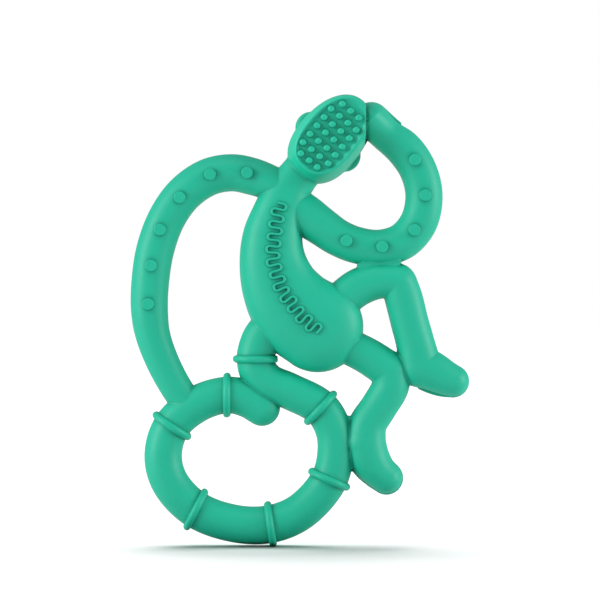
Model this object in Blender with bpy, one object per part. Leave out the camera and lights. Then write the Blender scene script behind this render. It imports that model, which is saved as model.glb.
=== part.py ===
"""Silicone teething ring in the shape of a long-limbed sitting animal.

The figure lies in the XZ plane with its back towards -Y and its face towards +Y, so its right is +X.
Its limbs are round tubes that close into loops, and the tail curls into the grip ring that the figure
stands on. The real thing is one moulding: here each moulded feature is its own closed solid, cut back
from its neighbour by GAP. Origin: centre of the footprint, at the lowest point of the ring.
Dimensions are millimetres, turned into metres as each mesh is made.
"""
import math

import bmesh
import bpy
from mathutils import Vector
from mathutils.bvhtree import BVHTree

MM = 0.001

# ---------------------------------------------------------------- general
GAP = 0.2                 # modelling gap between neighbouring features
TUBE_SEGMENTS = 24        # facets round a limb
TORSO_SEGMENTS = 32
NOSE_STEPS = 5            # rings in the round end of a tube
STEP = 2.1                # spacing of the sections along a limb
GREEN = (0.038, 0.502, 0.333)       # linear colour of the silicone
QUARTER = math.pi / 2

# ---------------------------------------------------------------- centre lines
# Stations in the XZ plane: x, z, half width in the plane, half depth along Y.
TORSO = [
    (1.5, 94.8, 4.9, 4.8), (-0.4, 92.4, 5.0, 5.0), (-2.6, 89.5, 5.4, 5.4), (-4.2, 86.2, 6.0, 5.9),
    (-5.8, 82.2, 6.45, 6.3), (-6.9, 77.0, 7.45, 6.7), (-6.8, 71.0, 8.3, 7.1), (-4.6, 64.1, 9.6, 7.5),
    (-0.2, 58.8, 10.8, 7.8), (3.9, 55.2, 11.5, 7.8),
]
TORSO_FULLNESS = 2.35     # exponent of the trunk's section: 2 is an ellipse, more is boxier

ARM_LEFT = [
    (-3.0, 87.4, 4.0, 3.6), (-7.5, 90.4, 4.5, 4.1), (-12.0, 92.3, 4.65, 4.5),
    (-17.0, 93.3, 4.65, 4.65), (-22.9, 92.2, 4.7, 4.7), (-28.8, 88.2, 4.7, 4.7),
    (-33.2, 82.1, 4.7, 4.7), (-36.2, 74.0, 4.75, 4.75), (-37.5, 65.2, 4.7, 4.7),
    (-37.6, 58.5, 4.6, 4.6), (-36.8, 52.8, 4.35, 4.4), (-34.5, 46.4, 4.15, 4.3),
    (-31.7, 40.9, 4.0, 4.2), (-28.6, 36.0, 3.9, 4.1),
]
ARM_RIGHT = [
    (-1.6, 84.8, 5.0, 4.4), (1.6, 82.6, 5.15, 4.7), (5.5, 79.8, 4.85, 4.8), (9.5, 77.1, 4.65, 4.7),
    (14.2, 75.2, 4.6, 4.65), (20.0, 74.6, 4.5, 4.6), (25.6, 76.2, 4.65, 4.65), (29.6, 80.8, 4.7, 4.7),
    (31.0, 87.5, 4.65, 4.65), (29.5, 94.0, 4.65, 4.65), (26.0, 99.2, 4.7, 4.7),
    (21.8, 103.2, 4.65, 4.7), (18.5, 106.3, 4.75, 4.7),
]
SHOULDER_SAMPLES = 14     # samples of the left arm, from its root, that the right arm is cut back from

# Each leg is a thigh, a shin and a foot.
LEG_RIGHT = [
    [(8.5, 60.7, 4.4, 4.2), (14.8, 64.7, 4.45, 4.5), (20.0, 66.2, 4.4, 4.6), (24.0, 65.4, 5.0, 4.7)],
    [(24.4, 65.1, 5.1, 4.7), (25.8, 62.0, 4.75, 4.7), (27.4, 56.0, 4.75, 4.7), (29.0, 50.0, 4.9, 4.7),
     (30.0, 45.0, 5.4, 4.8)],
    [(30.0, 45.0, 5.3, 4.8), (33.2, 43.3, 5.2, 4.7), (35.8, 42.0, 4.7, 4.4), (38.2, 41.2, 4.1, 4.0)],
]
LEG_LEFT = [
    [(9.6, 51.0, 4.4, 4.0), (16.5, 47.7, 4.6, 4.5), (21.8, 44.1, 4.9, 4.7)],
    [(22.0, 43.5, 5.25, 4.7), (22.5, 40.0, 4.75, 4.7), (19.8, 34.8, 4.5, 4.6), (17.2, 30.2, 4.6, 4.6),
     (16.9, 25.8, 5.0, 4.7)],
    [(16.9, 25.8, 5.0, 4.7), (17.5, 21.8, 5.4, 4.7), (19.4, 18.7, 4.85, 4.4), (21.3, 16.9, 4.2, 4.0)],
]

# The tail leaves the trunk, runs down to the right, goes once round the grip ring, clockwise as seen
# from the back, and ends in a round tip just below its own first run.
TAIL = [
    (-6.0, 56.5, 4.9, 4.0), (-9.2, 52.5, 5.1, 4.3), (-11.1, 48.2, 4.7, 4.6), (-11.2, 46.6, 4.6, 4.65),
    (-10.5, 44.4, 4.75, 4.7), (-7.9, 41.4, 4.7, 4.7), (-2.5, 38.8, 4.6, 4.7), (5.1, 34.6, 4.6, 4.65),
    (8.2, 29.5, 4.55, 4.6), (8.9, 24.0, 4.55, 4.6), (7.3, 16.7, 4.65, 4.65), (0.3, 8.7, 4.7, 4.7),
    (-7.4, 5.5, 4.75, 4.75), (-16.2, 5.6, 4.7, 4.7), (-26.0, 9.1, 4.7, 4.7), (-32.5, 15.9, 4.7, 4.7),
    (-34.2, 22.8, 4.7, 4.7), (-32.0, 30.1, 4.65, 4.65), (-25.5, 35.6, 4.65, 4.65),
    (-18.2, 37.7, 4.6, 4.5), (-13.2, 36.6, 4.55, 4.3), (-9.5, 34.5, 4.5, 4.1),
]
TAIL_SPLIT = 9            # the station where the stem ends and the loop begins
TAIL_OVERRUN = 12         # samples past the split that the left leg is also cut back from
TAIL_BANDS = [3, 7, 10, 12, 14, 17, 19]     # stations that carry a raised band
BAND_RADIUS = 0.88        # the band's own half thickness
BAND_RIDE = 0.02          # how far its centre sits outside the tube's surface
BAND_ARC_STEPS, BAND_SEGMENTS = 6, 28
BAND_BEND_REACH = 3       # tail samples each side of the first band that it is trimmed to
BAND_BEND_CLEARANCE = 0.12

# ---------------------------------------------------------------- head
HEAD_CENTRE = (7.65, 101.95)        # x, z
HEAD_TILT = math.radians(50.0)      # long axis above horizontal
HEAD_UP = Vector((math.cos(HEAD_TILT), 0, math.sin(HEAD_TILT)))         # towards the crown
HEAD_ACROSS = Vector((math.sin(HEAD_TILT), 0, -math.cos(HEAD_TILT)))    # to the right
HEAD_HALF_LENGTH, HEAD_HALF_WIDTH = 12.3, 8.2
HEAD_FULLNESS = 2.35                # exponent of the outline
HEAD_BACK, HEAD_FRONT = 9.4, 8.6    # depth behind and in front of the middle plane
HEAD_TAPER = 0.05                   # share of the width added at the chin and taken off at the crown
HEAD_SEGMENTS = 40
RIM_INSET = 1.45                    # how far the rim stands inside the widest outline
RIM_ROUNDING = 0.55                 # radius of the rim's outer corner
RIM_STEPS, WALL_STEPS, DOME_STEPS = 4, 6, 8
WALL_POWER = 1.9                    # how quickly the wall swells from rim to middle plane
DOME_POWER = 0.8                    # roundness of the face: 1 is elliptical, less is fuller
DOME_TOP_HALF_WIDTH = 2.0           # of the small flat the face ends in

POCKET_INSET, POCKET_DEPTH, POCKET_FULLNESS = 2.2, 1.3, 2.6
POCKET_OVERSHOOT = 1.0              # how far the pocket's cutter stands out behind the rim
PAD_THICKNESS, PAD_CHAMFER = 0.6, 0.15
BRISTLE_PITCH, BRISTLE_RADIUS, BRISTLE_HEIGHT = 2.69, 0.8, 1.15
BRISTLE_SINK = 0.2                  # how far a bristle's root goes into the pad
BRISTLE_CENTRE = (7.31, 101.86)     # x, z
BRISTLE_SEGMENTS = 10

EAR_AT, EAR_OUT = -1.0, 5.45        # along and across the head
EAR_RADIUS, EAR_HALF_DEPTH = 4.0, 1.8
EAR_DEPTH_CENTRE = 2.2              # y
EAR_EDGE = 1.1                      # rounding of the outer corners
EAR_DISH_INSET, EAR_DISH_EDGE, EAR_DISH_DEPTH = 1.9, 0.5, 0.7
EAR_SEGMENTS = 28

# name, place along and across the head, half size along and across, y of the base, height, shade
FACE_DOMES = [
    ("muzzle", -4.6, 0.0, 3.9, 4.5, 7.4, 2.5, 1.0),
    ("eye_left", 2.6, -2.5, 1.15, 0.95, 8.0, 1.25, 0.9),
    ("eye_right", 2.6, 2.5, 1.15, 0.95, 8.0, 1.25, 0.9),
]
FACE_DOME_ROOT = 1.5                # straight root below the base, cut away by the head
FACE_DOME_SEGMENTS = 32

# ---------------------------------------------------------------- nubs and rib
NUB_RADIUS, NUB_PROUD, NUB_EDGE = 1.52, 0.85, 0.28
NUB_ROOT = 2.4                      # depth inside the arm, behind the middle plane, where a nub starts
NUB_CLEARANCE = 0.1
NUB_SEGMENTS = 18
ARM_LEFT_NUBS = [               # x, z
    (-13.1, 93.1), (-22.3, 92.7), (-29.9, 87.2), (-34.7, 79.2), (-37.0, 70.2), (-37.7, 60.6),
]
ARM_RIGHT_NUBS = [(28.5, 96.3), (31.1, 87.5), (28.4, 78.9), (20.4, 74.7), (11.5, 76.2)]

RIB_LINE = [                    # middle of the meander: x, z
    (-4.7, 86.2), (-5.7, 81.8), (-6.4, 76.4), (-6.7, 71.9), (-5.7, 67.7), (-4.5, 64.0),
    (-2.2, 60.8), (0.0, 57.8), (3.0, 55.1), (5.4, 52.9),
]
RIB_STEP = 0.5                      # spacing of the samples along the middle line
RIB_PITCH, RIB_SWING = 1.55, 1.6    # bar spacing, half height of the meander
RIB_TURN = RIB_PITCH / 2            # radius of the turns between the bars
RIB_RADIUS = 0.34                   # half thickness along the surface
RIB_RISE = 1.25                     # half thickness off the surface, as a share of RIB_RADIUS
RIB_SINK, RIB_CLEARANCE = 0.1, 0.04
RIB_SEGMENTS = 6
RAY_START_Y = -30                   # well behind the trunk


# ---------------------------------------------------------------- curves
def blend(start, end, start_knot, end_knot, knot):
    span = end_knot - start_knot
    return start * ((end_knot - knot) / span) + end * ((knot - start_knot) / span)


def spline(points, step=STEP):
    """Centripetal Catmull-Rom curve through points, sampled about every step. Returns the samples
    and the sample index of each given point."""
    given = [Vector(p) if len(p) == 4 else Vector((*p, 1, 1)) for p in points]
    extended = [2 * given[0] - given[1]] + given + [2 * given[-1] - given[-2]]
    samples, marks = [], []
    for i in range(1, len(extended) - 2):
        before, start, end, after = extended[i - 1:i + 3]
        knots = [0.0]
        for p, q in ((before, start), (start, end), (end, after)):
            knots.append(knots[-1] + max(1e-6, (q.xy - p.xy).length ** 0.5))
        k0, k1, k2, k3 = knots
        count = max(1, round((end.xy - start.xy).length / step))
        marks.append(len(samples))
        for j in range(count):
            knot = k1 + (k2 - k1) * j / count
            first = blend(before, start, k0, k1, knot)
            middle = blend(start, end, k1, k2, knot)
            last = blend(end, after, k2, k3, knot)
            samples.append(blend(blend(first, middle, k0, k2, knot),
                                 blend(middle, last, k1, k3, knot), k1, k2, knot))
    marks.append(len(samples))
    samples.append(given[-1].copy())
    return samples, marks


def tangents(samples):
    """Unit direction in the XZ plane at each sample."""
    found = []
    for i in range(len(samples)):
        before, after = samples[max(0, i - 1)], samples[min(len(samples) - 1, i + 1)]
        direction = (after.xy - before.xy).normalized()
        found.append(Vector((direction.x, 0.0, direction.y)))
    return found


def in_plane_normal(tangent):
    return Vector((-tangent.z, 0, tangent.x))


def superellipse(angle, fullness):
    c, s = math.cos(angle), math.sin(angle)
    return (math.copysign(abs(c) ** (2.0 / fullness), c),
            math.copysign(abs(s) ** (2.0 / fullness), s))


# ---------------------------------------------------------------- solids
def skin(name, rows, mat, closed=False):
    """Solid through rows of points. A row of one point is a pole. If closed, the last row joins the
    first; otherwise end rows of more than one point are capped."""
    verts, index_rows = [], []
    for row in rows:
        index_rows.append(range(len(verts), len(verts) + len(row)))
        verts += row
    faces = []
    pairs = list(zip(index_rows, index_rows[1:]))
    if closed:
        pairs.append((index_rows[-1], index_rows[0]))
    for a, b in pairs:
        count = max(len(a), len(b))
        for k in range(count):
            j = (k + 1) % count
            if len(a) == 1:
                faces.append((a[0], b[k], b[j]))
            elif len(b) == 1:
                faces.append((a[k], a[j], b[0]))
            else:
                faces.append((a[k], a[j], b[j], b[k]))
    if not closed:
        if len(index_rows[0]) > 1:
            faces.append(tuple(index_rows[0]))
        if len(index_rows[-1]) > 1:
            faces.append(tuple(reversed(index_rows[-1])))

    mesh = bpy.data.meshes.new(name)
    mesh.from_pydata([v * MM for v in verts], [], faces)
    bm = bmesh.new()
    bm.from_mesh(mesh)
    bmesh.ops.remove_doubles(bm, verts=bm.verts, dist=1e-7)
    bmesh.ops.recalc_face_normals(bm, faces=bm.faces)
    bm.to_mesh(mesh)
    bm.free()
    if mat is not None:
        mesh.materials.append(mat)
    ob = bpy.data.objects.new(name, mesh)
    bpy.context.scene.collection.objects.link(ob)
    return ob


def tube(name, samples, mat, grow=0.0, fullness=2.0, round_ends=(True, True),
         segments=TUBE_SEGMENTS, directions=None):
    """A loft of rings square to the centre line, each end closed by a round nose or left flat."""
    directions = directions or tangents(samples)

    def nose(end, sign):
        sample, tangent = samples[end], directions[end]
        width, depth = sample[2] + grow, sample[3] + grow
        rings = []
        for k in range(1, NOSE_STEPS + 1):
            angle = 0.5 * math.pi * k / NOSE_STEPS
            centre = Vector((sample[0], 0, sample[1])) + tangent * sign * (width * math.sin(angle))
            rings.append((centre, tangent, width * math.cos(angle), depth * math.cos(angle)))
        return rings

    rings = nose(0, -1.0)[::-1] if round_ends[0] else []
    for sample, tangent in zip(samples, directions):
        centre = Vector((sample[0], 0, sample[1]))
        rings.append((centre, tangent, sample[2] + grow, sample[3] + grow))
    if round_ends[1]:
        rings += nose(len(samples) - 1, 1.0)

    rows = []
    for centre, tangent, width, depth in rings:
        if width < 1e-3:
            rows.append([centre])
            continue
        across = in_plane_normal(tangent)
        row = []
        for k in range(segments):
            u, v = superellipse(2 * math.pi * k / segments, fullness)
            row.append(centre + across * (width * u) + Vector((0, depth * v, 0)))
        rows.append(row)
    return skin(name, rows, mat)


def tube_cutter(samples, grow=GAP, round_ends=(True, True)):
    return tube("cutter", samples, None, grow=grow, round_ends=round_ends)


def lathe(name, base, axis, side, profile, mat, segments, squash=1.0):
    """Turns a profile of (radius, height): an open one that starts and ends on the axis, or a closed
    one that starts off it. squash scales the radius at right angles to side."""
    axis, side = Vector(axis).normalized(), Vector(side).normalized()
    third = axis.cross(side)
    rows = []
    for radius, height in profile:
        centre = Vector(base) + axis * height
        if radius < 1e-6:
            rows.append([centre])
            continue
        row = []
        for k in range(segments):
            a = 2 * math.pi * k / segments
            row.append(centre + side * (radius * math.cos(a))
                       + third * (radius * squash * math.sin(a)))
        rows.append(row)
    return skin(name, rows, mat, closed=profile[0][0] > 1e-6)


def keep_largest_body(bm):
    """Drops the offcuts a cut leaves behind, keeping the biggest connected piece."""
    bm.faces.index_update()
    seen, bodies = set(), []
    for first in bm.faces:
        if first.index in seen:
            continue
        stack, body = [first], []
        seen.add(first.index)
        while stack:
            face = stack.pop()
            body.append(face)
            for edge in face.edges:
                for neighbour in edge.link_faces:
                    if neighbour.index not in seen:
                        seen.add(neighbour.index)
                        stack.append(neighbour)
        bodies.append(body)
    bodies.sort(key=lambda body: -sum(face.calc_area() for face in body))
    offcuts = [face for body in bodies[1:] for face in body]
    if offcuts:
        bmesh.ops.delete(bm, geom=offcuts, context="FACES")


def boolean(ob, tool, operation):
    """Applies one boolean to ob, cleans the result and removes the tool."""
    mod = ob.modifiers.new("cut", "BOOLEAN")
    mod.operation = operation
    mod.solver = "EXACT"
    mod.object = tool
    depsgraph = bpy.context.evaluated_depsgraph_get()
    mesh = bpy.data.meshes.new_from_object(ob.evaluated_get(depsgraph), depsgraph=depsgraph)
    ob.modifiers.clear()
    bm = bmesh.new()
    bm.from_mesh(mesh)
    bmesh.ops.remove_doubles(bm, verts=bm.verts, dist=2e-6)
    bmesh.ops.dissolve_degenerate(bm, edges=bm.edges, dist=1e-6)
    keep_largest_body(bm)
    bm.to_mesh(mesh)
    bm.free()
    old = ob.data
    mesh.materials.clear()
    for mat in old.materials:
        mesh.materials.append(mat)
    for polygon in mesh.polygons:
        polygon.material_index = 0
    ob.data = mesh
    bpy.data.meshes.remove(old)
    bpy.data.objects.remove(tool, do_unlink=True)


def cut(ob, *cutters):
    for cutter in cutters:
        boolean(ob, cutter, "DIFFERENCE")
    return ob


def smooth(ob, limit=40.0):
    """Shades smooth, with edges sharper than limit degrees kept crisp."""
    bm = bmesh.new()
    bm.from_mesh(ob.data)
    for face in bm.faces:
        face.smooth = True
    for edge in bm.edges:
        if len(edge.link_faces) == 2 and edge.calc_face_angle(0.0) > math.radians(limit):
            edge.smooth = False
    bm.to_mesh(ob.data)
    bm.free()


def silicone(feature, shade=1.0, roughness=0.48):
    """The green silicone of one feature, darkened by shade."""
    mat = bpy.data.materials.new("silicone_" + feature)
    colour = (*(channel * shade for channel in GREEN), 1.0)
    mat.use_nodes = True
    shader = mat.node_tree.nodes.get("Principled BSDF")
    shader.inputs["Base Color"].default_value = colour
    shader.inputs["Roughness"].default_value = roughness
    shader.inputs["Metallic"].default_value = 0.0
    mat.diffuse_color = colour
    return mat


# ---------------------------------------------------------------- sampled centre lines
torso_line, _ = spline(TORSO)
arm_left_line, _ = spline(ARM_LEFT)
arm_right_line, _ = spline(ARM_RIGHT)
leg_right_lines = [spline(run)[0] for run in LEG_RIGHT]
leg_left_lines = [spline(run)[0] for run in LEG_LEFT]
tail_line, tail_marks = spline(TAIL)
tail_directions = tangents(tail_line)
split = tail_marks[TAIL_SPLIT]

# The loop starts one gap beyond the end of the stem.
loop_line = [sample.copy() for sample in tail_line[split:]]
loop_shift = tail_directions[split] * GAP
loop_line[0] = loop_line[0] + Vector((loop_shift.x, loop_shift.z, 0, 0))


# ---------------------------------------------------------------- trunk: others are cut back from it
def torso_tube(name="cutter", mat=None, grow=GAP):
    return tube(name, torso_line, mat, grow=grow, fullness=TORSO_FULLNESS, segments=TORSO_SEGMENTS)


# ---------------------------------------------------------------- head
def head_point(along, across, y, centre=HEAD_CENTRE):
    return Vector((centre[0], y, centre[1])) + HEAD_UP * along + HEAD_ACROSS * across


def head_ring(inset, y, grow=0.0, fullness=HEAD_FULLNESS):
    """One level of the head: its outline drawn in by inset, at depth y."""
    ring = []
    for k in range(HEAD_SEGMENTS):
        u, v = superellipse(2 * math.pi * k / HEAD_SEGMENTS, fullness)
        half_length = HEAD_HALF_LENGTH - inset + grow
        half_width = (HEAD_HALF_WIDTH - inset + grow) * (1.0 - HEAD_TAPER * u)
        ring.append(head_point(half_length * u, half_width * v, y))
    return ring


def head_solid(name="cutter", mat=None, grow=GAP):
    """From the flat rim on the back, over the barrel-shaped wall, to the domed face."""
    levels = []             # inset, y
    for k in range(RIM_STEPS + 1):
        a = 0.5 * math.pi * k / RIM_STEPS
        levels.append((RIM_INSET + RIM_ROUNDING * (1 - math.sin(a)),
                       -HEAD_BACK + RIM_ROUNDING * (1 - math.cos(a))))
    for k in range(1, WALL_STEPS + 1):
        left = 1 - k / WALL_STEPS
        levels.append((RIM_INSET * left ** WALL_POWER, -(HEAD_BACK - RIM_ROUNDING) * left))
    for k in range(1, DOME_STEPS + 1):
        a = 0.5 * math.pi * k / DOME_STEPS
        scale = math.cos(a) ** DOME_POWER if k < DOME_STEPS else 0.0
        levels.append(((HEAD_HALF_WIDTH - DOME_TOP_HALF_WIDTH) * (1 - scale),
                       HEAD_FRONT * math.sin(a)))
    return skin(name, [head_ring(inset, y, grow) for inset, y in levels], mat)


def build_head():
    head = head_solid("head", silicone("head"), grow=0.0)
    pocket = skin("cutter", [head_ring(POCKET_INSET, y, fullness=POCKET_FULLNESS)
                             for y in (-HEAD_BACK - POCKET_OVERSHOOT, -HEAD_BACK + POCKET_DEPTH)], None)
    cut(head, pocket, torso_tube())


def build_bristle_pad():
    """Pad in the recess on the back of the head, its bristles pointing to -Y."""
    inner_y = -HEAD_BACK + POCKET_DEPTH - GAP
    outer_y = inner_y - PAD_THICKNESS
    levels = ((0.0, inner_y), (0.0, outer_y + PAD_CHAMFER), (PAD_CHAMFER, outer_y))
    pad = skin("bristle_pad", [head_ring(POCKET_INSET + GAP + inset, y, fullness=POCKET_FULLNESS)
                               for inset, y in levels], silicone("bristle_pad", shade=0.98))
    radius, height = BRISTLE_RADIUS, BRISTLE_HEIGHT + BRISTLE_SINK
    profile = [(0, 0), (radius + 0.05, 0), (radius, height - 0.25), (radius - 0.09, height - 0.07),
               (radius - 0.3, height), (0, height)]
    for row in range(-3, 4):
        columns = (-1.0, 0.0, 1.0) if abs(row) == 3 else (-1.5, -0.5, 0.5, 1.5)
        for column in columns:
            root = head_point(row * BRISTLE_PITCH, column * BRISTLE_PITCH, outer_y + BRISTLE_SINK,
                              BRISTLE_CENTRE)
            bristle = lathe("cutter", root, (0, -1, 0), HEAD_UP, profile, None, BRISTLE_SEGMENTS)
            boolean(pad, bristle, "UNION")


def build_ear(name, side):
    """A thick disc at the side of the head with a shallow dish on its front."""
    radius, half = EAR_RADIUS, EAR_HALF_DEPTH
    corner = (0.0, 0.4, 0.8, 1.2, QUARTER)
    profile = [(0, -half)]
    profile += [(radius - EAR_EDGE + EAR_EDGE * math.sin(a), -half + EAR_EDGE - EAR_EDGE * math.cos(a))
                for a in corner]
    profile += [(radius - EAR_EDGE + EAR_EDGE * math.cos(a), half - EAR_EDGE + EAR_EDGE * math.sin(a))
                for a in corner]
    profile += [(radius - EAR_DISH_INSET, half - EAR_DISH_EDGE), (0, half - EAR_DISH_DEPTH)]
    centre = head_point(EAR_AT, side * EAR_OUT, EAR_DEPTH_CENTRE)
    disc = lathe(name, centre, (0, 1, 0), HEAD_UP, profile, silicone(name), EAR_SEGMENTS)
    cut(disc, head_solid())


def build_face_dome(name, along, across, half_along, half_across, y, height, shade):
    profile = [(0, -FACE_DOME_ROOT), (half_along, -FACE_DOME_ROOT), (half_along, 0.0)]
    profile += [(half_along * math.cos(a), height * math.sin(a)) for a in (0.3, 0.6, 0.9, 1.2)]
    profile.append((0, height))
    dome = lathe(name, head_point(along, across, y), (0, 1, 0), HEAD_UP, profile,
                 silicone(name, shade), FACE_DOME_SEGMENTS, squash=half_across / half_along)
    cut(dome, head_solid())


# ---------------------------------------------------------------- arms
def build_arms():
    arm_left = tube("arm_left", arm_left_line, silicone("arm_left"))
    cut(arm_left, torso_tube(), tube_cutter(loop_line, round_ends=(False, True)))
    arm_right = tube("arm_right", arm_right_line, silicone("arm_right"))
    cut(arm_right, torso_tube(), head_solid(), tube_cutter(arm_left_line[:SHOULDER_SAMPLES]))


def build_nubs(arm_name, places, line, mat):
    """Flat-topped round nubs on the back of an arm."""
    edge = NUB_EDGE
    for i, (x, z) in enumerate(places):
        nearest = min(line, key=lambda s: (s[0] - x) ** 2 + (s[1] - z) ** 2)
        top = nearest[3] + NUB_PROUD
        profile = [(0, NUB_ROOT), (NUB_RADIUS, NUB_ROOT), (NUB_RADIUS, top - edge)]
        profile += [(NUB_RADIUS - edge + edge * math.cos(a), top - edge + edge * math.sin(a))
                    for a in (0.5, 1.05, QUARTER)]
        profile.append((0, top))
        nub = lathe("%s_nub_%d" % (arm_name, i + 1), (x, 0, z), (0, -1, 0), (1, 0, 0), profile, mat,
                    NUB_SEGMENTS)
        cut(nub, tube_cutter(line, grow=NUB_CLEARANCE))


# ---------------------------------------------------------------- legs
def leg(name, lines):
    """Thigh, shin and foot joined into one body."""
    ob = tube(name, lines[0], silicone(name))
    for line in lines[1:]:
        boolean(ob, tube_cutter(line, grow=0.0), "UNION")
    return ob


def build_legs():
    cut(leg("leg_right", leg_right_lines), torso_tube(), tube_cutter(arm_right_line))
    cut(leg("leg_left", leg_left_lines), torso_tube(),
        *[tube_cutter(line) for line in leg_right_lines],
        tube_cutter(tail_line[:split + TAIL_OVERRUN]))


# ---------------------------------------------------------------- tail
def build_tail():
    """The stem, then the loop that closes the ring."""
    stem = tube("tail_stem", tail_line[:split + 1], silicone("tail_stem"), round_ends=(True, False),
                directions=tail_directions[:split + 1])
    cut(stem, torso_tube())
    loop = tube("tail_loop", loop_line, silicone("tail_loop"), round_ends=(False, True),
                directions=tail_directions[split:])
    # The loop's tip is cut back from the stem, up to one station short of the split.
    first_run = tail_line[:tail_marks[TAIL_SPLIT - 1] + 1]
    cut(loop, tube_cutter(first_run, round_ends=(True, False)))


def build_tail_bands():
    mat = silicone("bands", roughness=0.46)
    for i, station in enumerate(TAIL_BANDS):
        mark = tail_marks[station]
        x, z, width, depth = tail_line[mark]
        tangent = tail_directions[mark]
        inner = width + GAP                     # inside face, clear of the tube
        middle = width + BAND_RIDE
        start = math.asin((inner - middle) / BAND_RADIUS)
        profile = []
        for k in range(BAND_ARC_STEPS + 1):
            a = start + (math.pi - 2 * start) * k / BAND_ARC_STEPS
            profile.append((middle + BAND_RADIUS * math.sin(a), BAND_RADIUS * math.cos(a)))
        # The squash follows the tube's section where that is elliptical.
        band = lathe("tail_band_%d" % (i + 1), (x, 0, z), tangent, in_plane_normal(tangent), profile,
                     mat, BAND_SEGMENTS, squash=(depth + GAP) / inner)
        if i == 0:                              # this one sits in a tight bend beside the trunk
            bend = tail_line[mark - BAND_BEND_REACH:mark + BAND_BEND_REACH + 1]
            cut(band, tube_cutter(bend, grow=BAND_BEND_CLEARANCE, round_ends=(False, False)),
                torso_tube())


# ---------------------------------------------------------------- meandering rib on the trunk's back
def rib_path(torso):
    """Straight bars joined by half-round turns at alternate ends, laid on the trunk's surface."""
    bm = bmesh.new()
    bm.from_mesh(torso.data)
    surface = BVHTree.FromBMesh(bm)
    bm.free()
    line, _ = spline(RIB_LINE, RIB_STEP)
    directions = tangents(line)
    arc = [0.0]
    for p, q in zip(line, line[1:]):
        arc.append(arc[-1] + (q.xy - p.xy).length)

    def on_surface(distance, aside):
        """The surface point at a distance along the middle line and off to its side."""
        i = max(k for k in range(len(arc) - 1) if arc[k] <= distance or k == 0)
        part = (distance - arc[i]) / (arc[i + 1] - arc[i])
        centre = line[i].lerp(line[i + 1], part)
        tangent = directions[i].lerp(directions[i + 1], part).normalized()
        x, z = centre[0] - tangent.z * aside, centre[1] + tangent.x * aside
        hit = surface.ray_cast(Vector((x, RAY_START_Y, z)) * MM, Vector((0, 1, 0)))[0]
        return Vector((x, hit.y / MM - RIB_SINK, z))

    path = []
    reach = RIB_SWING - RIB_TURN
    bars = int(arc[-1] / RIB_PITCH)
    for i in range(bars):
        side = 1 if i % 2 == 0 else -1
        at = (i + 0.5) * RIB_PITCH
        path += [on_surface(at, -side * reach), on_surface(at, side * reach)]
        if i < bars - 1:
            for k in (1, 2):
                a = math.pi * k / 3
                path.append(on_surface(at + RIB_TURN - RIB_TURN * math.cos(a),
                                       side * (reach + RIB_TURN * math.sin(a))))
    return path


def build_back_rib(torso):
    path = rib_path(torso)
    rows = []
    for i, point in enumerate(path):
        tangent = (path[min(i + 1, len(path) - 1)] - path[max(i - 1, 0)]).normalized()
        side = tangent.cross(Vector((0, -1, 0))).normalized()
        outward = side.cross(tangent).normalized()
        row = []
        for k in range(RIB_SEGMENTS):
            a = 2 * math.pi * k / RIB_SEGMENTS
            row.append(point + side * (RIB_RADIUS * math.cos(a))
                       + outward * (RIB_RADIUS * RIB_RISE * math.sin(a)))
        rows.append(row)
    cut(skin("back_rib", rows, silicone("back_rib")), torso_tube(grow=RIB_CLEARANCE))


def stand_on_ground(parts):
    """Moves the meshes so the figure stands on z = 0, centred on the origin in X and Y."""
    low = [min(v.co[axis] for ob in parts for v in ob.data.vertices) for axis in range(3)]
    high = [max(v.co[axis] for ob in parts for v in ob.data.vertices) for axis in range(3)]
    offset = Vector((-(low[0] + high[0]) / 2, -(low[1] + high[1]) / 2, -low[2]))
    for ob in parts:
        for v in ob.data.vertices:
            v.co += offset


def main():
    for ob in list(bpy.data.objects):
        bpy.data.objects.remove(ob, do_unlink=True)

    torso = torso_tube("torso", silicone("torso"), grow=0.0)
    build_head()
    build_bristle_pad()
    build_ear("ear_left", -1)
    build_ear("ear_right", 1)
    for dome in FACE_DOMES:
        build_face_dome(*dome)
    build_arms()
    build_legs()
    build_tail()
    build_tail_bands()
    nub_material = silicone("nubs", roughness=0.46)
    build_nubs("arm_left", ARM_LEFT_NUBS, arm_left_line, nub_material)
    build_nubs("arm_right", ARM_RIGHT_NUBS, arm_right_line, nub_material)
    build_back_rib(torso)

    parts = [ob for ob in bpy.data.objects if ob.type == "MESH"]
    stand_on_ground(parts)
    for ob in parts:
        smooth(ob)


main()
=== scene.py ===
"""Looks for a silicone teething ring: a one-piece moulded figure with a long looped tail.

The figure stands upright in the XZ plane. Its back, with a dish of bristles in the head, faces -Y and its
face +Y; left is -X and right is +X. Dimensions are in millimetres, in the CAD's frame, until a piece is made.

The skin is an implicit surface. Every feature (trunk, head, arms, legs, tail ...) is a signed distance,
neighbours are joined by rounded mould fillets, and each feature's share of the skin is meshed as its own
closed piece. Neighbouring pieces meet on the same seam and carry the true surface normals there, so the
figure reads as a single moulding.
"""
import math
from concurrent.futures import ThreadPoolExecutor

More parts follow.
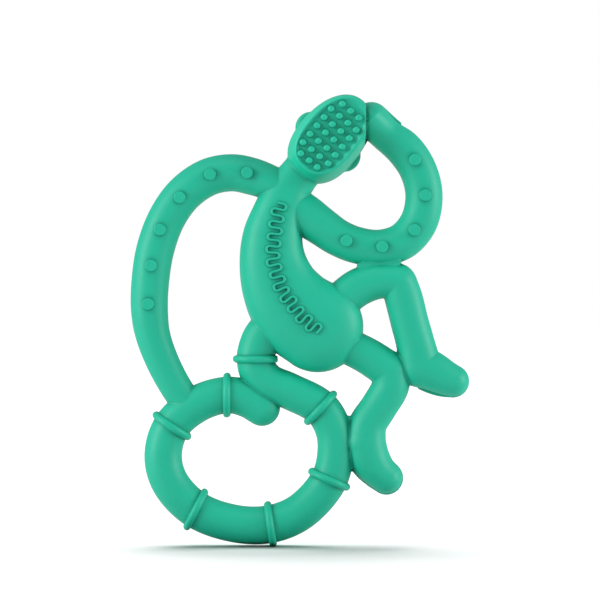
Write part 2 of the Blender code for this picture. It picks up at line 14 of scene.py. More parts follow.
import bpy
import numpy as np
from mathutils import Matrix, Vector


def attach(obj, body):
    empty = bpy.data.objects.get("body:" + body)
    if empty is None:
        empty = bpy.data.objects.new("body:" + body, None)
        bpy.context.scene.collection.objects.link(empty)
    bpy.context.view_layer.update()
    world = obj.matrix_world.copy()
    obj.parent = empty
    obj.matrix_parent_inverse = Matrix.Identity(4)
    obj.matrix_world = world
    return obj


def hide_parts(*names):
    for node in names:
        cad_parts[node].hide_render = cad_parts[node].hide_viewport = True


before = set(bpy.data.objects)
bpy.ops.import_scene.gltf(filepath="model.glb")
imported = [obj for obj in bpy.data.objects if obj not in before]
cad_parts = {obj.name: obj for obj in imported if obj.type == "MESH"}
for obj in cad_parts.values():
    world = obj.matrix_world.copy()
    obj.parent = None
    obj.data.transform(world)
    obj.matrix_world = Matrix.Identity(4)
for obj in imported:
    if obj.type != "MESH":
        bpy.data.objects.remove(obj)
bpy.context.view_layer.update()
MM = 0.001
OFFSET = np.array([0.0122, 0.075, 0.0547])      # the CAD's shift on to the floor, mm
MESH_SIZE = 0.3               # cell of the skin's mesh
PAD_MESH_SIZE = 0.14
# each skin piece, and its mesh size as a share of MESH_SIZE
SKIN_PIECES = {"torso": 1.0, "head": 0.85, "muzzle": 0.7, "ear_left": 0.8, "ear_right": 0.8,
               "arm_left": 1.0, "arm_right": 1.0, "leg_left": 1.0, "leg_right": 1.0,
               "tail_stem": 1.0, "tail_loop": 1.0}

# ---------------------------------------------------------------- limbs
# stations along each centre line: x, z, half width in the plane, half depth
TORSO = [(1.4, 94.8, 4.95, 4.8), (-0.5, 92.4, 5.05, 5.0), (-2.6, 89.5, 5.4, 5.4), (-4.2, 86.2, 6.0, 5.9),
         (-5.8, 82.2, 6.45, 6.3), (-6.9, 77.0, 7.45, 6.7), (-6.8, 71.0, 8.3, 7.1), (-4.6, 64.1, 9.6, 7.5),
         (-0.35, 58.6, 10.95, 7.8), (4.65, 55.15, 11.4, 7.8)]
# extra half width at each torso station: the belly is fuller below its centre line, flatter above
TORSO_SKEW = [0, 0, 0, 0, 0, 0, 0, 0.1, 0.5, 0.4]
TORSO_FULLNESS = 2.35
ARM_LEFT = [(-3.2, 88.4, 4.1, 4.8), (-7.3, 90.7, 4.4, 5.0), (-12.0, 92.4, 4.65, 4.65),
            (-17.0, 93.3, 4.65, 4.65), (-22.9, 92.2, 4.7, 4.7), (-28.8, 88.2, 4.7, 4.7),
            (-33.2, 82.1, 4.7, 4.7), (-36.2, 74.0, 4.75, 4.75), (-37.5, 65.2, 4.7, 4.7),
            (-37.6, 58.5, 4.6, 4.6), (-36.8, 52.8, 4.35, 4.4), (-34.5, 46.4, 4.15, 4.3),
            (-31.7, 40.9, 4.0, 4.2), (-28.6, 36.0, 3.9, 4.1)]
ARM_RIGHT = [(-0.3, 84.0, 5.1, 5.1), (1.6, 82.6, 5.15, 5.2), (5.5, 79.8, 4.85, 5.05), (9.5, 77.1, 4.65, 4.75),
             (14.2, 75.2, 4.6, 4.65), (20.0, 74.6, 4.5, 4.6), (25.6, 76.2, 4.65, 4.65), (29.6, 80.8, 4.7, 4.7),
             (31.0, 87.5, 4.65, 4.65), (29.5, 94.0, 4.65, 4.65), (26.0, 99.2, 4.65, 4.7),
             (21.65, 103.05, 4.45, 5.0), (17.85, 106.5, 4.5, 7.0)]
# the back halves of the right palm and of both feet are narrower than the front halves
ARM_RIGHT_BACK = ARM_RIGHT[:-2] + [(21.47, 102.83, 4.18, 5.0), (17.8, 106.42, 4.42, 7.0)]
FOOT_RIGHT_BACK = [(30.0, 45.0, 5.3, 4.8), (33.3, 43.6, 4.9, 4.7), (35.9, 42.25, 4.42, 4.4),
                   (38.2, 41.3, 3.95, 4.0)]
FOOT_LEFT_BACK = [(16.2, 26.0, 5.2, 4.95), (17.35, 21.85, 5.0, 4.8), (19.45, 18.95, 4.32, 4.5),
                  (21.55, 17.1, 3.97, 4.0)]
# thigh, shin, foot
LEG_RIGHT = [
    [(8.7, 60.0, 4.7, 4.5), (14.6, 64.65, 4.75, 4.6), (20.0, 66.4, 4.6, 4.6), (24.4, 66.05, 4.6, 4.7)],
    [(24.8, 65.55, 4.55, 4.7), (25.9, 62.0, 4.75, 4.7), (27.4, 56.0, 4.75, 4.7), (29.0, 50.0, 4.9, 4.7),
     (30.0, 45.0, 5.4, 4.8)],
    [(30.0, 45.0, 5.3, 4.8), (33.2, 43.3, 5.2, 4.7), (35.8, 42.0, 4.7, 4.4), (38.2, 41.2, 4.1, 4.0)],
]
LEG_LEFT = [
    [(9.8, 50.9, 4.45, 4.75), (16.5, 47.7, 4.6, 4.6), (22.2, 44.0, 4.75, 4.7)],
    [(22.6, 43.4, 4.8, 4.7), (22.6, 40.0, 4.7, 4.7), (19.7, 34.8, 4.6, 4.6), (16.9, 30.3, 4.8, 4.75),
     (16.2, 26.0, 5.25, 4.95)],
    [(16.2, 26.0, 5.2, 4.95), (17.3, 21.8, 5.2, 4.8), (19.45, 18.85, 4.55, 4.5), (21.6, 17.0, 4.2, 4.0)],
]
TAIL = [(-6.2, 55.7, 4.9, 4.4), (-9.3, 52.1, 5.0, 4.5), (-11.1, 48.2, 4.65, 4.65), (-11.2, 46.6, 4.6, 4.65),
        (-10.6, 44.1, 4.75, 4.7), (-8.1, 41.2, 4.6, 4.7), (-2.6, 38.7, 4.6, 4.7), (5.1, 34.6, 4.6, 4.65),
        (8.2, 29.5, 4.55, 4.6), (8.9, 24.0, 4.55, 4.6), (7.3, 16.7, 4.65, 4.65), (0.3, 8.7, 4.7, 4.7),
        (-7.4, 5.5, 4.75, 4.75), (-16.2, 5.6, 4.7, 4.7), (-26.0, 9.1, 4.7, 4.7), (-32.5, 15.9, 4.7, 4.7),
        (-34.2, 22.8, 4.7, 4.7), (-32.0, 30.1, 4.65, 4.65), (-25.5, 35.6, 4.65, 4.65), (-18.2, 37.75, 4.6, 4.5),
        (-13.3, 36.8, 4.65, 4.3), (-9.5, 34.5, 4.5, 4.1)]
TAIL_SPLIT, TAIL_TIP = 9, 18            # stations where the stem ends and where the tip begins
# flat fills between limbs: strip start, strip end, half width, half depth
WEB_TORSO = (-7.5, 49.3), (-6.75, 48.55), 0.75, 2.2
WEB_LEG_RIGHT = (15.2, 69.85), (24.1, 70.85), 1.0, 2.7
WEB_LEG_LEFT = (12.9, 20.6), (12.4, 31.6), 0.95, 1.9
WEB_JOIN, WEB_EDGE = 0.12, 0.25         # fillet radius to the limb, radius of the strip's own edge
# the wider front halves start at this y; a step across the limb is a point and the way the limb runs on
PALM_SPLIT_Y, FOOT_RIGHT_SPLIT_Y, FOOT_LEFT_SPLIT_Y = -0.3, -0.3, -0.15
PALM_STEP = (25.4, 105.6), (-0.737, 0.676)
FOOT_RIGHT_STEP = (29.4, 39.3), (0.95, -0.3)
PALM_SAMPLES = 30                       # the palm's share of the arm's centre line, counted from its end
FLANGE_JOIN, FLANGE_EDGE = 0.07, 0.1
LEG_JOIN = 0.15

# ---------------------------------------------------------------- head
HEAD_CENTRE = np.array([7.65, 101.95])
HEAD_TILT = math.radians(50.0)
CROWNWARD = np.array([math.cos(HEAD_TILT), math.sin(HEAD_TILT)])      # towards the crown, in (x, z)
RIGHTWARD = np.array([math.sin(HEAD_TILT), -math.cos(HEAD_TILT)])     # across the head, to the right
HEAD_LENGTH, HEAD_WIDTH, HEAD_FULLNESS = 12.3, 8.2, 2.35              # half sizes of the outline
HEAD_TAPER, HEAD_CROWN_TAPER = 0.05, 0.08
HEAD_BACK, HEAD_FRONT = 9.4, 8.6
FACE_FULLNESS, FACE_WIDTH = 2.45, HEAD_WIDTH * 0.93
RIM_INSET, RIM_LEAN, RIM_EDGE = 1.4, 0.5, 0.38     # the rim is nearer the outline at the crown than at the chin
WALL_POWER, WALL_SHORT = 1.9, 0.4                  # barrel curve of the wall; it is full this far before the back
CROWN_BEND = 0.45                                  # the crown leans to the right
HAND_CUT_X, HAND_CUT_EDGE = 16.25, 0.3             # the hand's end cuts the head's wall
DISH_LENGTH, DISH_WIDTH, DISH_FULLNESS, DISH_SHIFT = 10.6, 6.55, 2.45, 0.42
DISH_DEPTH, DISH_SLOPE, DISH_START = 0.5, 1.7, 0.1  # the floor, how far in its soft slope reaches, its start
BRISTLE_PITCH, BRISTLE_RADIUS, BRISTLE_HEIGHT, BRISTLE_EDGE = 2.69, 0.8, 1.02, 0.42
BRISTLE_FLARE, BRISTLE_ROOT_Y = 0.05, -7.0
BRISTLE_CENTRE = np.array([7.31, 101.86])
CHIN_ROW_SHIFT = 0.27                              # the row nearest the chin stands closer to the next
BRISTLE_COLUMNS, BRISTLE_END_COLUMNS = (-1.5, -0.5, 0.5, 1.5), (-1.0, 0.0, 0.95)   # in pitches
PAD_INSET, PAD_FRONT_Y = 0.42, -8.1                # the pad's piece: inside the dish's edge, behind this y
EAR_ALONG, EAR_ACROSS, EAR_RADIUS, EAR_HALF, EAR_Y = -1.0, 5.45, 4.0, 1.8, 2.2
EAR_EDGE, EAR_RIM, EAR_DISH_DEPTH, EAR_DISH_EDGE = 1.2, 1.0, 0.7, 0.3
# domes: place along and across the head, half sizes along and across it, y of the centre, half size in y
MUZZLE = -4.6, 0.0, 3.9, 4.5, 7.4, 2.5
NOSTRILS = [(-3.1, side * 0.95, 0.5, 0.36, 9.75, 0.5) for side in (-1, 1)]
MOUTH_ALONG, MOUTH_DROP, MOUTH_SPREAD, MOUTH_ANGLE = -3.3, 2.5, 2.75, 58
MOUTH_RADIUS, MOUTH_BACK_Y, PRESSED_EDGE = 0.24, 7.6, 0.12

# ---------------------------------------------------------------- raised details
# each band's ring: the two ends of its diameter in the plane, from the root of the tail to its tip
BAND_LINES = [((-15.9, 46.75), (-6.65, 46.75)), ((2.0, 31.25), (8.4, 38.0)), ((3.0, 18.65), (11.65, 14.75)),
              ((-8.1, 10.25), (-6.75, 1.0)), ((-23.9, 13.25), (-28.25, 4.9)), ((-35.95, 32.75), (-28.2, 27.5)),
              ((-18.25, 42.4), (-18.25, 33.1))]
BAND_RADIUS, BAND_LIFT, BAND_FILLET = 0.94, 0.08, 0.09
BAND_HALF_DEPTH, BAND_SUNK = 4.65, 0.4
NUB_RADIUS, NUB_PROUD, NUB_EDGE, NUB_FILLET = 1.45, 0.95, 0.2, 0.09
NUB_FLAT = NUB_RADIUS - 0.38            # radius of the faintly dimpled top
NUB_DIMPLE, NUB_SUNK, NUB_POLE = 0.03, 0.5, 2.2
NUBS = {  # x, z of each
    "arm_left": [(-13.1, 93.1), (-22.3, 92.65), (-29.85, 86.95), (-34.75, 78.95), (-37.0, 70.05), (-37.7, 60.5)],
    "arm_right": [(28.5, 96.3), (31.1, 87.5), (28.4, 78.9), (20.4, 74.7), (11.5, 76.2)]}
EYE_ALONG, EYE_ACROSS = 2.6, 2.5
EYE_LENGTH, EYE_WIDTH, EYE_Y, EYE_HEIGHT, EYE_SUNK = 1.15, 0.95, 8.0, 1.25, 1.6
# x, z along the middle of the rib
RIB_LINE = [(-4.7, 86.2), (-5.7, 81.8), (-6.4, 76.4), (-6.7, 71.9), (-5.7, 67.7), (-4.5, 64.0), (-2.2, 60.8),
            (0.0, 57.8), (3.0, 55.1), (5.4, 52.9)]
RIB_PITCH, RIB_SWING, RIB_RADIUS, RIB_LIFT, RIB_FILLET, RIB_SUNK = 1.55, 1.6, 0.36, 0.24, 0.06, 0.45
RIB_STEP = 0.13


# ---------------------------------------------------------------- curves and vectors
def spline(stations, step=0.5):
    """Centripetal Catmull-Rom through the stations; returns samples and the index of each station."""
    given = np.array([s if len(s) == 4 else (*s, 1.0, 1.0) for s in stations], float)
    extended = np.vstack([2 * given[0] - given[1], given, 2 * given[-1] - given[-2]])
    samples, marks = [], []
    for i in range(1, len(extended) - 2):
        window = extended[i - 1:i + 3]
        knots = [0.0]
        for start, end in zip(window, window[1:]):
            knots.append(knots[-1] + max(1e-6, math.hypot(*(end - start)[:2]) ** 0.5))
        count = max(1, round(math.hypot(*(window[2] - window[1])[:2]) / step))
        marks.append(len(samples))
        for k in range(count):
            at = knots[1] + (knots[2] - knots[1]) * k / count

            def blend(start, end, i0, i1):
                span = knots[i1] - knots[i0]
                return start * ((knots[i1] - at) / span) + end * ((at - knots[i0]) / span)

            first, middle, last = (blend(window[j], window[j + 1], j, j + 1) for j in range(3))
            samples.append(blend(blend(first, middle, 0, 2), blend(middle, last, 1, 3), 1, 2))
    marks.append(len(samples))
    samples.append(given[-1])
    return np.array(samples), marks


def unit(vectors):
    return vectors / np.maximum(np.linalg.norm(vectors, axis=-1, keepdims=True), 1e-12)


def tangents(line):
    ends = np.zeros((len(line), 2))
    ends[1:-1] = line[2:, :2] - line[:-2, :2]
    ends[0], ends[-1] = line[1, :2] - line[0, :2], line[-1, :2] - line[-2, :2]
    return unit(ends)


def run_length(points):
    """Distance along a line in the plane or in space, at each of its points."""
    return np.r_[0, np.cumsum(np.hypot(*np.diff(points, axis=0).T))]


def head_point(along, across):
    return HEAD_CENTRE + CROWNWARD * along + RIGHTWARD * across


# ---------------------------------------------------------------- signed distances
# A shape has lo and hi (its box in the plane), deep (its reach in y), plane(xz), which measures points in the
# plane once, and depth(plane, y), which turns those measures and a depth into a signed distance.
POOL = ThreadPoolExecutor(4)
FAR = 9.0


def in_chunks(work, count, size=4000):
    """Runs work on slices of 0..count side by side; results come back in order, so threads change nothing."""
    return list(POOL.map(work, [slice(s, min(count, s + size)) for s in range(0, count, size)]))


def round_union(a, b, radius):
    """Union of two distances with a circular fillet in the corner."""
    return (np.maximum(radius, np.minimum(a, b))
            - np.hypot(np.maximum(radius - a, 0), np.maximum(radius - b, 0)))


def round_cut(a, b, radius):
    """Intersection of two distances with its edge rounded."""
    return (np.minimum(-radius, np.maximum(a, b))
            + np.hypot(np.maximum(radius + a, 0), np.maximum(radius + b, 0)))


def superellipse(across, through, half_across, half_through, power):
    """Level (1 on the outline) of a point given in half sizes, and how steeply the level rises per mm."""
    level = (across ** power + through ** power) ** (1 / power) + 1e-9
    steep = np.sqrt((across ** (power - 1) / half_across) ** 2 + (through ** (power - 1) / half_through) ** 2)
    return level, steep / level ** (power - 1)


class Tube:
    """Envelope of ellipses along a centre line: half width in the plane, half depth across it."""
    MAP_STEP = 0.4

    def __init__(self, line, fullness=2.0, reach=4.0, look=3, ring=False, skew=None):
        self.line, self.fullness, self.look, self.ring, self.skew = line, fullness, look, ring, skew
        self.x, self.z, self.width, self.half_depth = (np.ascontiguousarray(line[:, k]) for k in range(4))
        self.dx, self.dz, self.d_width, self.d_depth = (np.diff(line[:, k]) for k in range(4))
        # direction and taper at each point: feet slide smoothly from one stretch to the next
        tangent = tangents(line)
        if ring:
            across_seam = line[1, :2] - line[-2, :2]
            tangent[0] = tangent[-1] = across_seam / np.hypot(*across_seam)
        size = np.hypot(self.dx, self.dz)
        run = np.r_[0, np.cumsum(size)]
        self.tx, self.tz = np.ascontiguousarray(tangent[:, 0]), np.ascontiguousarray(tangent[:, 1])
        run = np.maximum(run, np.arange(len(run)) * 1e-6)
        self.taper = np.clip(np.gradient(self.width, run), -0.8, 0.8)
        # how each stretch bows away from its chord, at its start and at its end
        self.start_x, self.start_z = self.tx[:-1] * size - self.dx, self.tz[:-1] * size - self.dz
        self.end_x, self.end_z = self.tx[1:] * size - self.dx, self.tz[1:] * size - self.dz
        self.lo = (line[:, :2] - line[:, 2:3]).min(0)
        self.hi = (line[:, :2] + line[:, 2:3]).max(0)
        self.deep = line[:, 3].max()
        self.map_nearest(reach)

    def map_nearest(self, reach):
        """A coarse map of the nearest point of the line, refined later in a window round it."""
        self.corner = self.lo - reach
        self.shape = np.ceil((self.hi - self.lo + 2 * reach) / self.MAP_STEP).astype(int) + 1
        axes = [self.corner[k] + self.MAP_STEP * np.arange(self.shape[k]) for k in (0, 1)]
        map_x, map_z = np.meshgrid(*axes, indexing="ij")
        points = np.stack([map_x.ravel(), map_z.ravel()], 1)

        def nearest(part):
            distance = np.hypot(points[part, None, 0] - self.x, points[part, None, 1] - self.z)
            return (distance - self.width).argmin(1)

        self.nearest = np.concatenate(in_chunks(nearest, len(points), 1000)).reshape(self.shape)

    def plane(self, xz):
        cell = np.clip(np.rint((xz - self.corner) / self.MAP_STEP).astype(int), 0, self.shape - 1)
        first = self.nearest[cell[:, 0], cell[:, 1]] - self.look
        x, z = np.ascontiguousarray(xz[:, 0]), np.ascontiguousarray(xz[:, 1])
        last = len(self.line) - 1

        def ahead(k):
            off_x, off_z = x - self.x[k], z - self.z[k]
            return off_x * self.tx[k] + off_z * self.tz[k] + np.hypot(off_x, off_z) * self.taper[k]

        past = np.zeros(len(xz), int)
        for i in range(2 * self.look + 1):
            past += ahead((first + i) % last if self.ring else np.clip(first + i, 0, last)) > 0
        k = first + past - 1
        k = k % last if self.ring else np.clip(k, 0, last - 1)
        before, after = ahead(k), ahead(k + 1)
        inside = before / np.maximum(before - after, 1e-9)
        part = np.where(before <= 0, 0.0, np.where(after >= 0, 1.0, inside))
        rest = 1 - part
        bow_x = part * rest * (rest * self.start_x[k] - part * self.end_x[k])
        bow_z = part * rest * (rest * self.start_z[k] - part * self.end_z[k])
        x = x - self.x[k] - self.dx[k] * part - bow_x
        z = z - self.z[k] - self.dz[k] * part - bow_z
        distance, width = np.hypot(x, z), self.width[k] + self.d_width[k] * part
        if self.skew is not None:                          # wider to one side of the line than to the other
            tx = self.tx[k] * rest + self.tx[k + 1] * part
            tz = self.tz[k] * rest + self.tz[k + 1] * part
            skew = self.skew[k] * rest + self.skew[k + 1] * part
            width = width + skew * (x * tz - z * tx) / np.maximum(distance, 1e-6)
        return np.stack([distance, width, self.half_depth[k] + self.d_depth[k] * part])

    def depth(self, plane, y):
        distance, width, half_depth = plane
        across, through = distance / width, np.abs(y) / half_depth
        if self.fullness == 2.0:
            level = np.sqrt(across * across + through * through) + 1e-9
            slope = np.sqrt((across / width) ** 2 + (through / half_depth) ** 2) / level
        else:
            level, slope = superellipse(across, through, width, half_depth, self.fullness)
        return (level - 1) / (slope + 1e-9)


class HeadLoop:
    """Signed distance in the plane to a tilted, slightly egg-shaped superellipse."""

    def __init__(self, shift, length, width, power, crown_taper):
        self.shift, self.length, self.width = shift, length, width
        self.power, self.crown_taper = power, crown_taper
        angle = np.linspace(0, 2 * math.pi, 400, endpoint=False)
        along, across = (np.sign(c) * np.abs(c) ** (2 / power) for c in (np.cos(angle), np.sin(angle)))
        across = width * (1 - self.taper(along)) * across + CROWN_BEND * np.clip(along, 0, 1) ** 2
        self.points = (HEAD_CENTRE + (length * along + shift)[:, None] * CROWNWARD
                       + across[:, None] * RIGHTWARD)
        ring = np.vstack([self.points, self.points[:1]])
        line = np.hstack([ring, np.zeros((len(ring), 1)), np.ones((len(ring), 1))])
        self.outline = Tube(line, reach=5.0, look=5, ring=True)

    def taper(self, along):
        return np.where(along > 0, self.crown_taper, HEAD_TAPER) * np.clip(along, -1.3, 1.3)

    def at(self, xz):
        distance = self.outline.plane(xz)[0]
        off = xz - HEAD_CENTRE
        along = (off @ CROWNWARD - self.shift) / self.length
        across = off @ RIGHTWARD - CROWN_BEND * np.clip(along, 0, 1) ** 2
        across = across / self.width / (1 - self.taper(along))
        inside = np.abs(along) ** self.power + np.abs(across) ** self.power < 1
        return np.where(inside, -distance, distance)


def soft_step(t):
    t = np.clip(t, 0, 1)
    return t * t * t * (t * (6 * t - 15) + 10)


class Head:
    """A thin rim on the back round a shallow dish, a barrel-shaped wall and a domed face."""

    def __init__(self):
        self.rim = HeadLoop(0, HEAD_LENGTH, HEAD_WIDTH, HEAD_FULLNESS, HEAD_CROWN_TAPER)
        self.dish = HeadLoop(DISH_SHIFT, DISH_LENGTH, DISH_WIDTH, DISH_FULLNESS, HEAD_TAPER)
        self.lo, self.hi = self.rim.points.min(0), self.rim.points.max(0)
        self.deep = HEAD_BACK

    def plane(self, xz):
        along = np.clip((xz - HEAD_CENTRE) @ CROWNWARD / HEAD_LENGTH, -1, 1)
        return np.stack([self.rim.at(xz), self.dish.at(xz), along, xz[:, 0] - HAND_CUT_X])

    def depth(self, plane, y):
        rim, dish, along, hand = plane
        inset = RIM_INSET - RIM_LEAN * along
        back = np.clip(-y / (HEAD_BACK - WALL_SHORT), 0, 1.2)
        wall_slope = inset * WALL_POWER / HEAD_BACK * back ** (WALL_POWER - 1)
        wall = (rim + inset * back ** WALL_POWER) / np.sqrt(1 + wall_slope ** 2)
        sunk = DISH_DEPTH * soft_step((-dish + DISH_START) / DISH_SLOPE)
        on_slope = (dish < 0) * (dish > -DISH_SLOPE)
        # 0.12 is about the square of the dish slope's steepness
        back_half = round_cut(wall, (-y - HEAD_BACK + sunk) / np.sqrt(1 + 0.12 * on_slope), RIM_EDGE)
        # the face: the outline's distance and the depth share one superellipse
        across = np.maximum(1 + rim / FACE_WIDTH, 0)
        through = np.maximum(y, 0) / HEAD_FRONT
        level, slope = superellipse(across, through, FACE_WIDTH, HEAD_FRONT, FACE_FULLNESS)
        face = (level - 1) / np.maximum(slope + 1e-6, 0.4 / FACE_WIDTH)
        return np.where(y > 0, face, round_cut(back_half, hand, HAND_CUT_EDGE))


class Ear:
    """A round-edged disc lying in the plane, hollowed on its +Y face."""

    def __init__(self, side):
        self.centre = head_point(EAR_ALONG, side * EAR_ACROSS)
        self.lo, self.hi = self.centre - EAR_RADIUS * 1.1, self.centre + EAR_RADIUS * 1.1
        self.deep = abs(EAR_Y) + EAR_HALF

    def plane(self, xz):
        off = xz - self.centre
        return np.hypot(off @ CROWNWARD, off @ RIGHTWARD)[None]

    def depth(self, plane, y):
        edge = plane[0] - EAR_RADIUS
        disc = round_cut(edge, np.abs(y - EAR_Y) - EAR_HALF, EAR_EDGE)
        hollow = round_cut(edge + EAR_RIM, EAR_Y + EAR_HALF - EAR_DISH_DEPTH - y, EAR_DISH_EDGE)
        return round_cut(disc, -hollow, EAR_DISH_EDGE)


class Group:
    """Several shapes joined with one fillet radius, unless a member brings its own."""

    def __init__(self, members, radius):
        self.members, self.radius = members, radius
        self.lo = np.min([m.lo for m in members], 0)
        self.hi = np.max([m.hi for m in members], 0)
        self.deep = max(m.deep for m in members)

    def plane(self, xz):
        return [m.plane(xz) for m in self.members]

    def depth(self, planes, y):
        joined = self.members[0].depth(planes[0], y)
        for member, plane in zip(self.members[1:], planes[1:]):
            joined = round_union(joined, member.depth(plane, y), getattr(member, "join", self.radius))
        return joined


class Web:
    """A thin flat fill between two limbs: a strip of the plane, held to a half depth."""
    join = WEB_JOIN

    def __init__(self, start, end, half_width, half_depth):
        self.start, self.end, self.half_width = np.array(start), np.array(end), half_width
        self.lo = np.minimum(start, end) - half_width
        self.hi = np.maximum(start, end) + half_width
        self.deep = half_depth

    def plane(self, xz):
        strip = self.end - self.start
        part = np.clip((xz - self.start) @ strip / (strip @ strip), 0, 1)
        return np.hypot(*(xz - self.start - part[:, None] * strip).T)[None]

    def depth(self, plane, y):
        return round_cut(plane[0] - self.half_width, np.abs(y) - self.deep, WEB_EDGE)


class Flange:
    """The front mould half standing a little proud of the back half: the full tube, kept to the front side
    and, where it ends in a step, kept beyond a line across the limb."""
    join = FLANGE_JOIN

    def __init__(self, line, split_y, step_at=None, step_along=None):
        self.tube, self.split_y = Tube(line), split_y
        self.step_at, self.step_along = step_at, step_along
        self.lo, self.hi, self.deep = self.tube.lo, self.tube.hi, self.tube.deep

    def plane(self, xz):
        if self.step_at is None:
            before_step = np.full(len(xz), -FAR)
        else:
            before_step = -(xz - np.array(self.step_at)) @ np.array(self.step_along)
        return [self.tube.plane(xz), before_step[None]]

    def depth(self, plane, y):
        front = round_cut(self.tube.depth(plane[0], y), self.split_y - y, FLANGE_EDGE)
        return np.maximum(front, plane[1][0])


class Dome:
    """An ellipsoid lined up with the head."""

    def __init__(self, along, across, half_along, half_across, y, half_y):
        self.centre = head_point(along, across)
        self.half_along, self.half_across, self.y, self.half_y = half_along, half_across, y, half_y
        self.radius = max(half_along, half_across)
        self.lo, self.hi = self.centre - self.radius, self.centre + self.radius
        self.deep = abs(y) + half_y

    def plane(self, xz):
        off = xz - self.centre
        return np.stack([off @ CROWNWARD, off @ RIGHTWARD])

    def depth(self, plane, y):
        along, across = plane[0] / self.half_along, plane[1] / self.half_across
        through = (y - self.y) / self.half_y
        level = np.sqrt(along * along + across * across + through * through) + 1e-9
        slope = np.sqrt((along / self.half_along) ** 2 + (across / self.half_across) ** 2
                        + (through / self.half_y) ** 2) / level + 1e-9
        return (level - 1) / np.maximum(slope, 0.5 / self.radius)


class Muzzle:
    """The front dome with two nostrils and a smile pressed into it."""

    def __init__(self):
        self.body = Dome(*MUZZLE)
        self.lo, self.hi, self.deep = self.body.lo, self.body.hi, self.body.deep
        self.nostrils = [Dome(*nostril) for nostril in NOSTRILS]
        mouth = [head_point(MOUTH_ALONG - MOUTH_DROP * math.cos(a), MOUTH_SPREAD * math.sin(a))
                 for a in np.radians(np.linspace(-MOUTH_ANGLE, MOUTH_ANGLE, 25))]
        self.mouth = Tube(np.array([(*point, 0.2, 0.2) for point in mouth]))

    def plane(self, xz):
        return [shape.plane(xz) for shape in (self.body, *self.nostrils, self.mouth)]

    def depth(self, planes, y):
        dome = self.body.depth(planes[0], y)
        for nostril, plane in zip(self.nostrils, planes[1:3]):
            dome = round_cut(dome, -nostril.depth(plane, y), PRESSED_EDGE)
        # the smile follows the dome: a groove measured from the dome's own surface
        groove = np.hypot(planes[3][0], np.minimum(np.abs(dome), 3.0)) - MOUTH_RADIUS
        return np.where(y > MOUTH_BACK_Y, round_cut(dome, -groove, PRESSED_EDGE), dome)


class Bristles:
    """Round posts standing on the dish floor."""

    def __init__(self, dish):
        self.dish = dish
        self.lo, self.hi, self.deep = dish.points.min(0), dish.points.max(0), HEAD_BACK + 0.6
        self.spots = np.array([
            BRISTLE_CENTRE + CROWNWARD * (row * BRISTLE_PITCH + CHIN_ROW_SHIFT * (row == -3))
            + RIGHTWARD * (column * BRISTLE_PITCH)
            for row in range(-3, 4)
            for column in (BRISTLE_END_COLUMNS if abs(row) == 3 else BRISTLE_COLUMNS)])

    def plane(self, xz):
        near = np.min([np.hypot(xz[:, 0] - s[0], xz[:, 1] - s[1]) for s in self.spots], 0)
        return np.stack([near, self.dish.at(xz)])

    def depth(self, plane, y):
        height = -(y + HEAD_BACK - DISH_DEPTH)                 # above the dish floor
        side = plane[0] - BRISTLE_RADIUS - BRISTLE_FLARE * np.clip(1 - height, 0, 2)
        return np.maximum(round_cut(side, height - BRISTLE_HEIGHT, BRISTLE_EDGE), y - BRISTLE_ROOT_Y)


# ---------------------------------------------------------------- the figure's shapes
def torso():
    line, marks = spline(TORSO)
    skew = np.interp(np.arange(len(line)), marks, TORSO_SKEW)
    return Group([Tube(line, TORSO_FULLNESS, look=4, skew=skew), Web(*WEB_TORSO)], 0.12)


def arm_right():
    palm = spline(ARM_RIGHT)[0][-PALM_SAMPLES:]
    return Group([Tube(spline(ARM_RIGHT_BACK)[0]), Flange(palm, PALM_SPLIT_Y, *PALM_STEP)], FLANGE_JOIN)


def leg(stretches, foot_back, split_y, web, step=()):
    thigh, shin, foot = (spline(stretch)[0] for stretch in stretches)
    return Group([Tube(thigh), Tube(shin), Tube(spline(foot_back)[0]), Flange(foot, split_y, *step),
                  Web(*web)], LEG_JOIN)


tail_line, tail_marks = spline(TAIL)
split, tip = tail_marks[TAIL_SPLIT], tail_marks[TAIL_TIP]
head = Head()
SHAPES = {
    "torso": torso(),
    "head": head,
    "muzzle": Muzzle(),
    "bristles": Bristles(head.dish),
    "ear_left": Ear(-1),
    "ear_right": Ear(1),
    "arm_left": Tube(spline(ARM_LEFT)[0]),
    "arm_right": arm_right(),
    "leg_right": leg(LEG_RIGHT, FOOT_RIGHT_BACK, FOOT_RIGHT_SPLIT_Y, WEB_LEG_RIGHT, FOOT_RIGHT_STEP),
    "leg_left": leg(LEG_LEFT, FOOT_LEFT_BACK, FOOT_LEFT_SPLIT_Y, WEB_LEG_LEFT),
    "tail_stem": Tube(tail_line[:split + 1]),
    "tail_ring": Tube(tail_line[split:tip + 1]),
    "tail_tip": Tube(tail_line[tip:]),
}
TAIL_PARTS = ("tail_stem", "tail_ring", "tail_tip")
# neighbouring shapes and the radius of the mould fillet between them; 0 is one continuous tube
FILLETS = [
    ("torso", "head", 0.25), ("torso", "arm_left", 0.12), ("torso", "arm_right", 0.12),
    ("torso", "leg_right", 0.12), ("torso", "leg_left", 0.12), ("torso", "tail_stem", 0.12),
    ("arm_left", "arm_right", 0.3), ("head", "arm_right", 0.14), ("head", "ear_left", 0.3),
    ("head", "ear_right", 0.3), ("head", "muzzle", 0.8), ("head", "bristles", 0.17),
    ("arm_right", "leg_right", 0.3), ("leg_right", "leg_left", 0.4), ("leg_left", "tail_stem", 0.45),
    ("leg_left", "tail_ring", 0.45), ("arm_left", "tail_ring", 0.14), ("tail_tip", "tail_stem", 0.16),
    ("tail_stem", "tail_ring", 0.0), ("tail_ring", "tail_tip", 0.0)]
# pieces made of more than the shape they are named after
OWN = {"tail_loop": ["tail_ring", "tail_tip"], "head": ["head", "bristles"], "bristle_pad": ["head", "bristles"]}


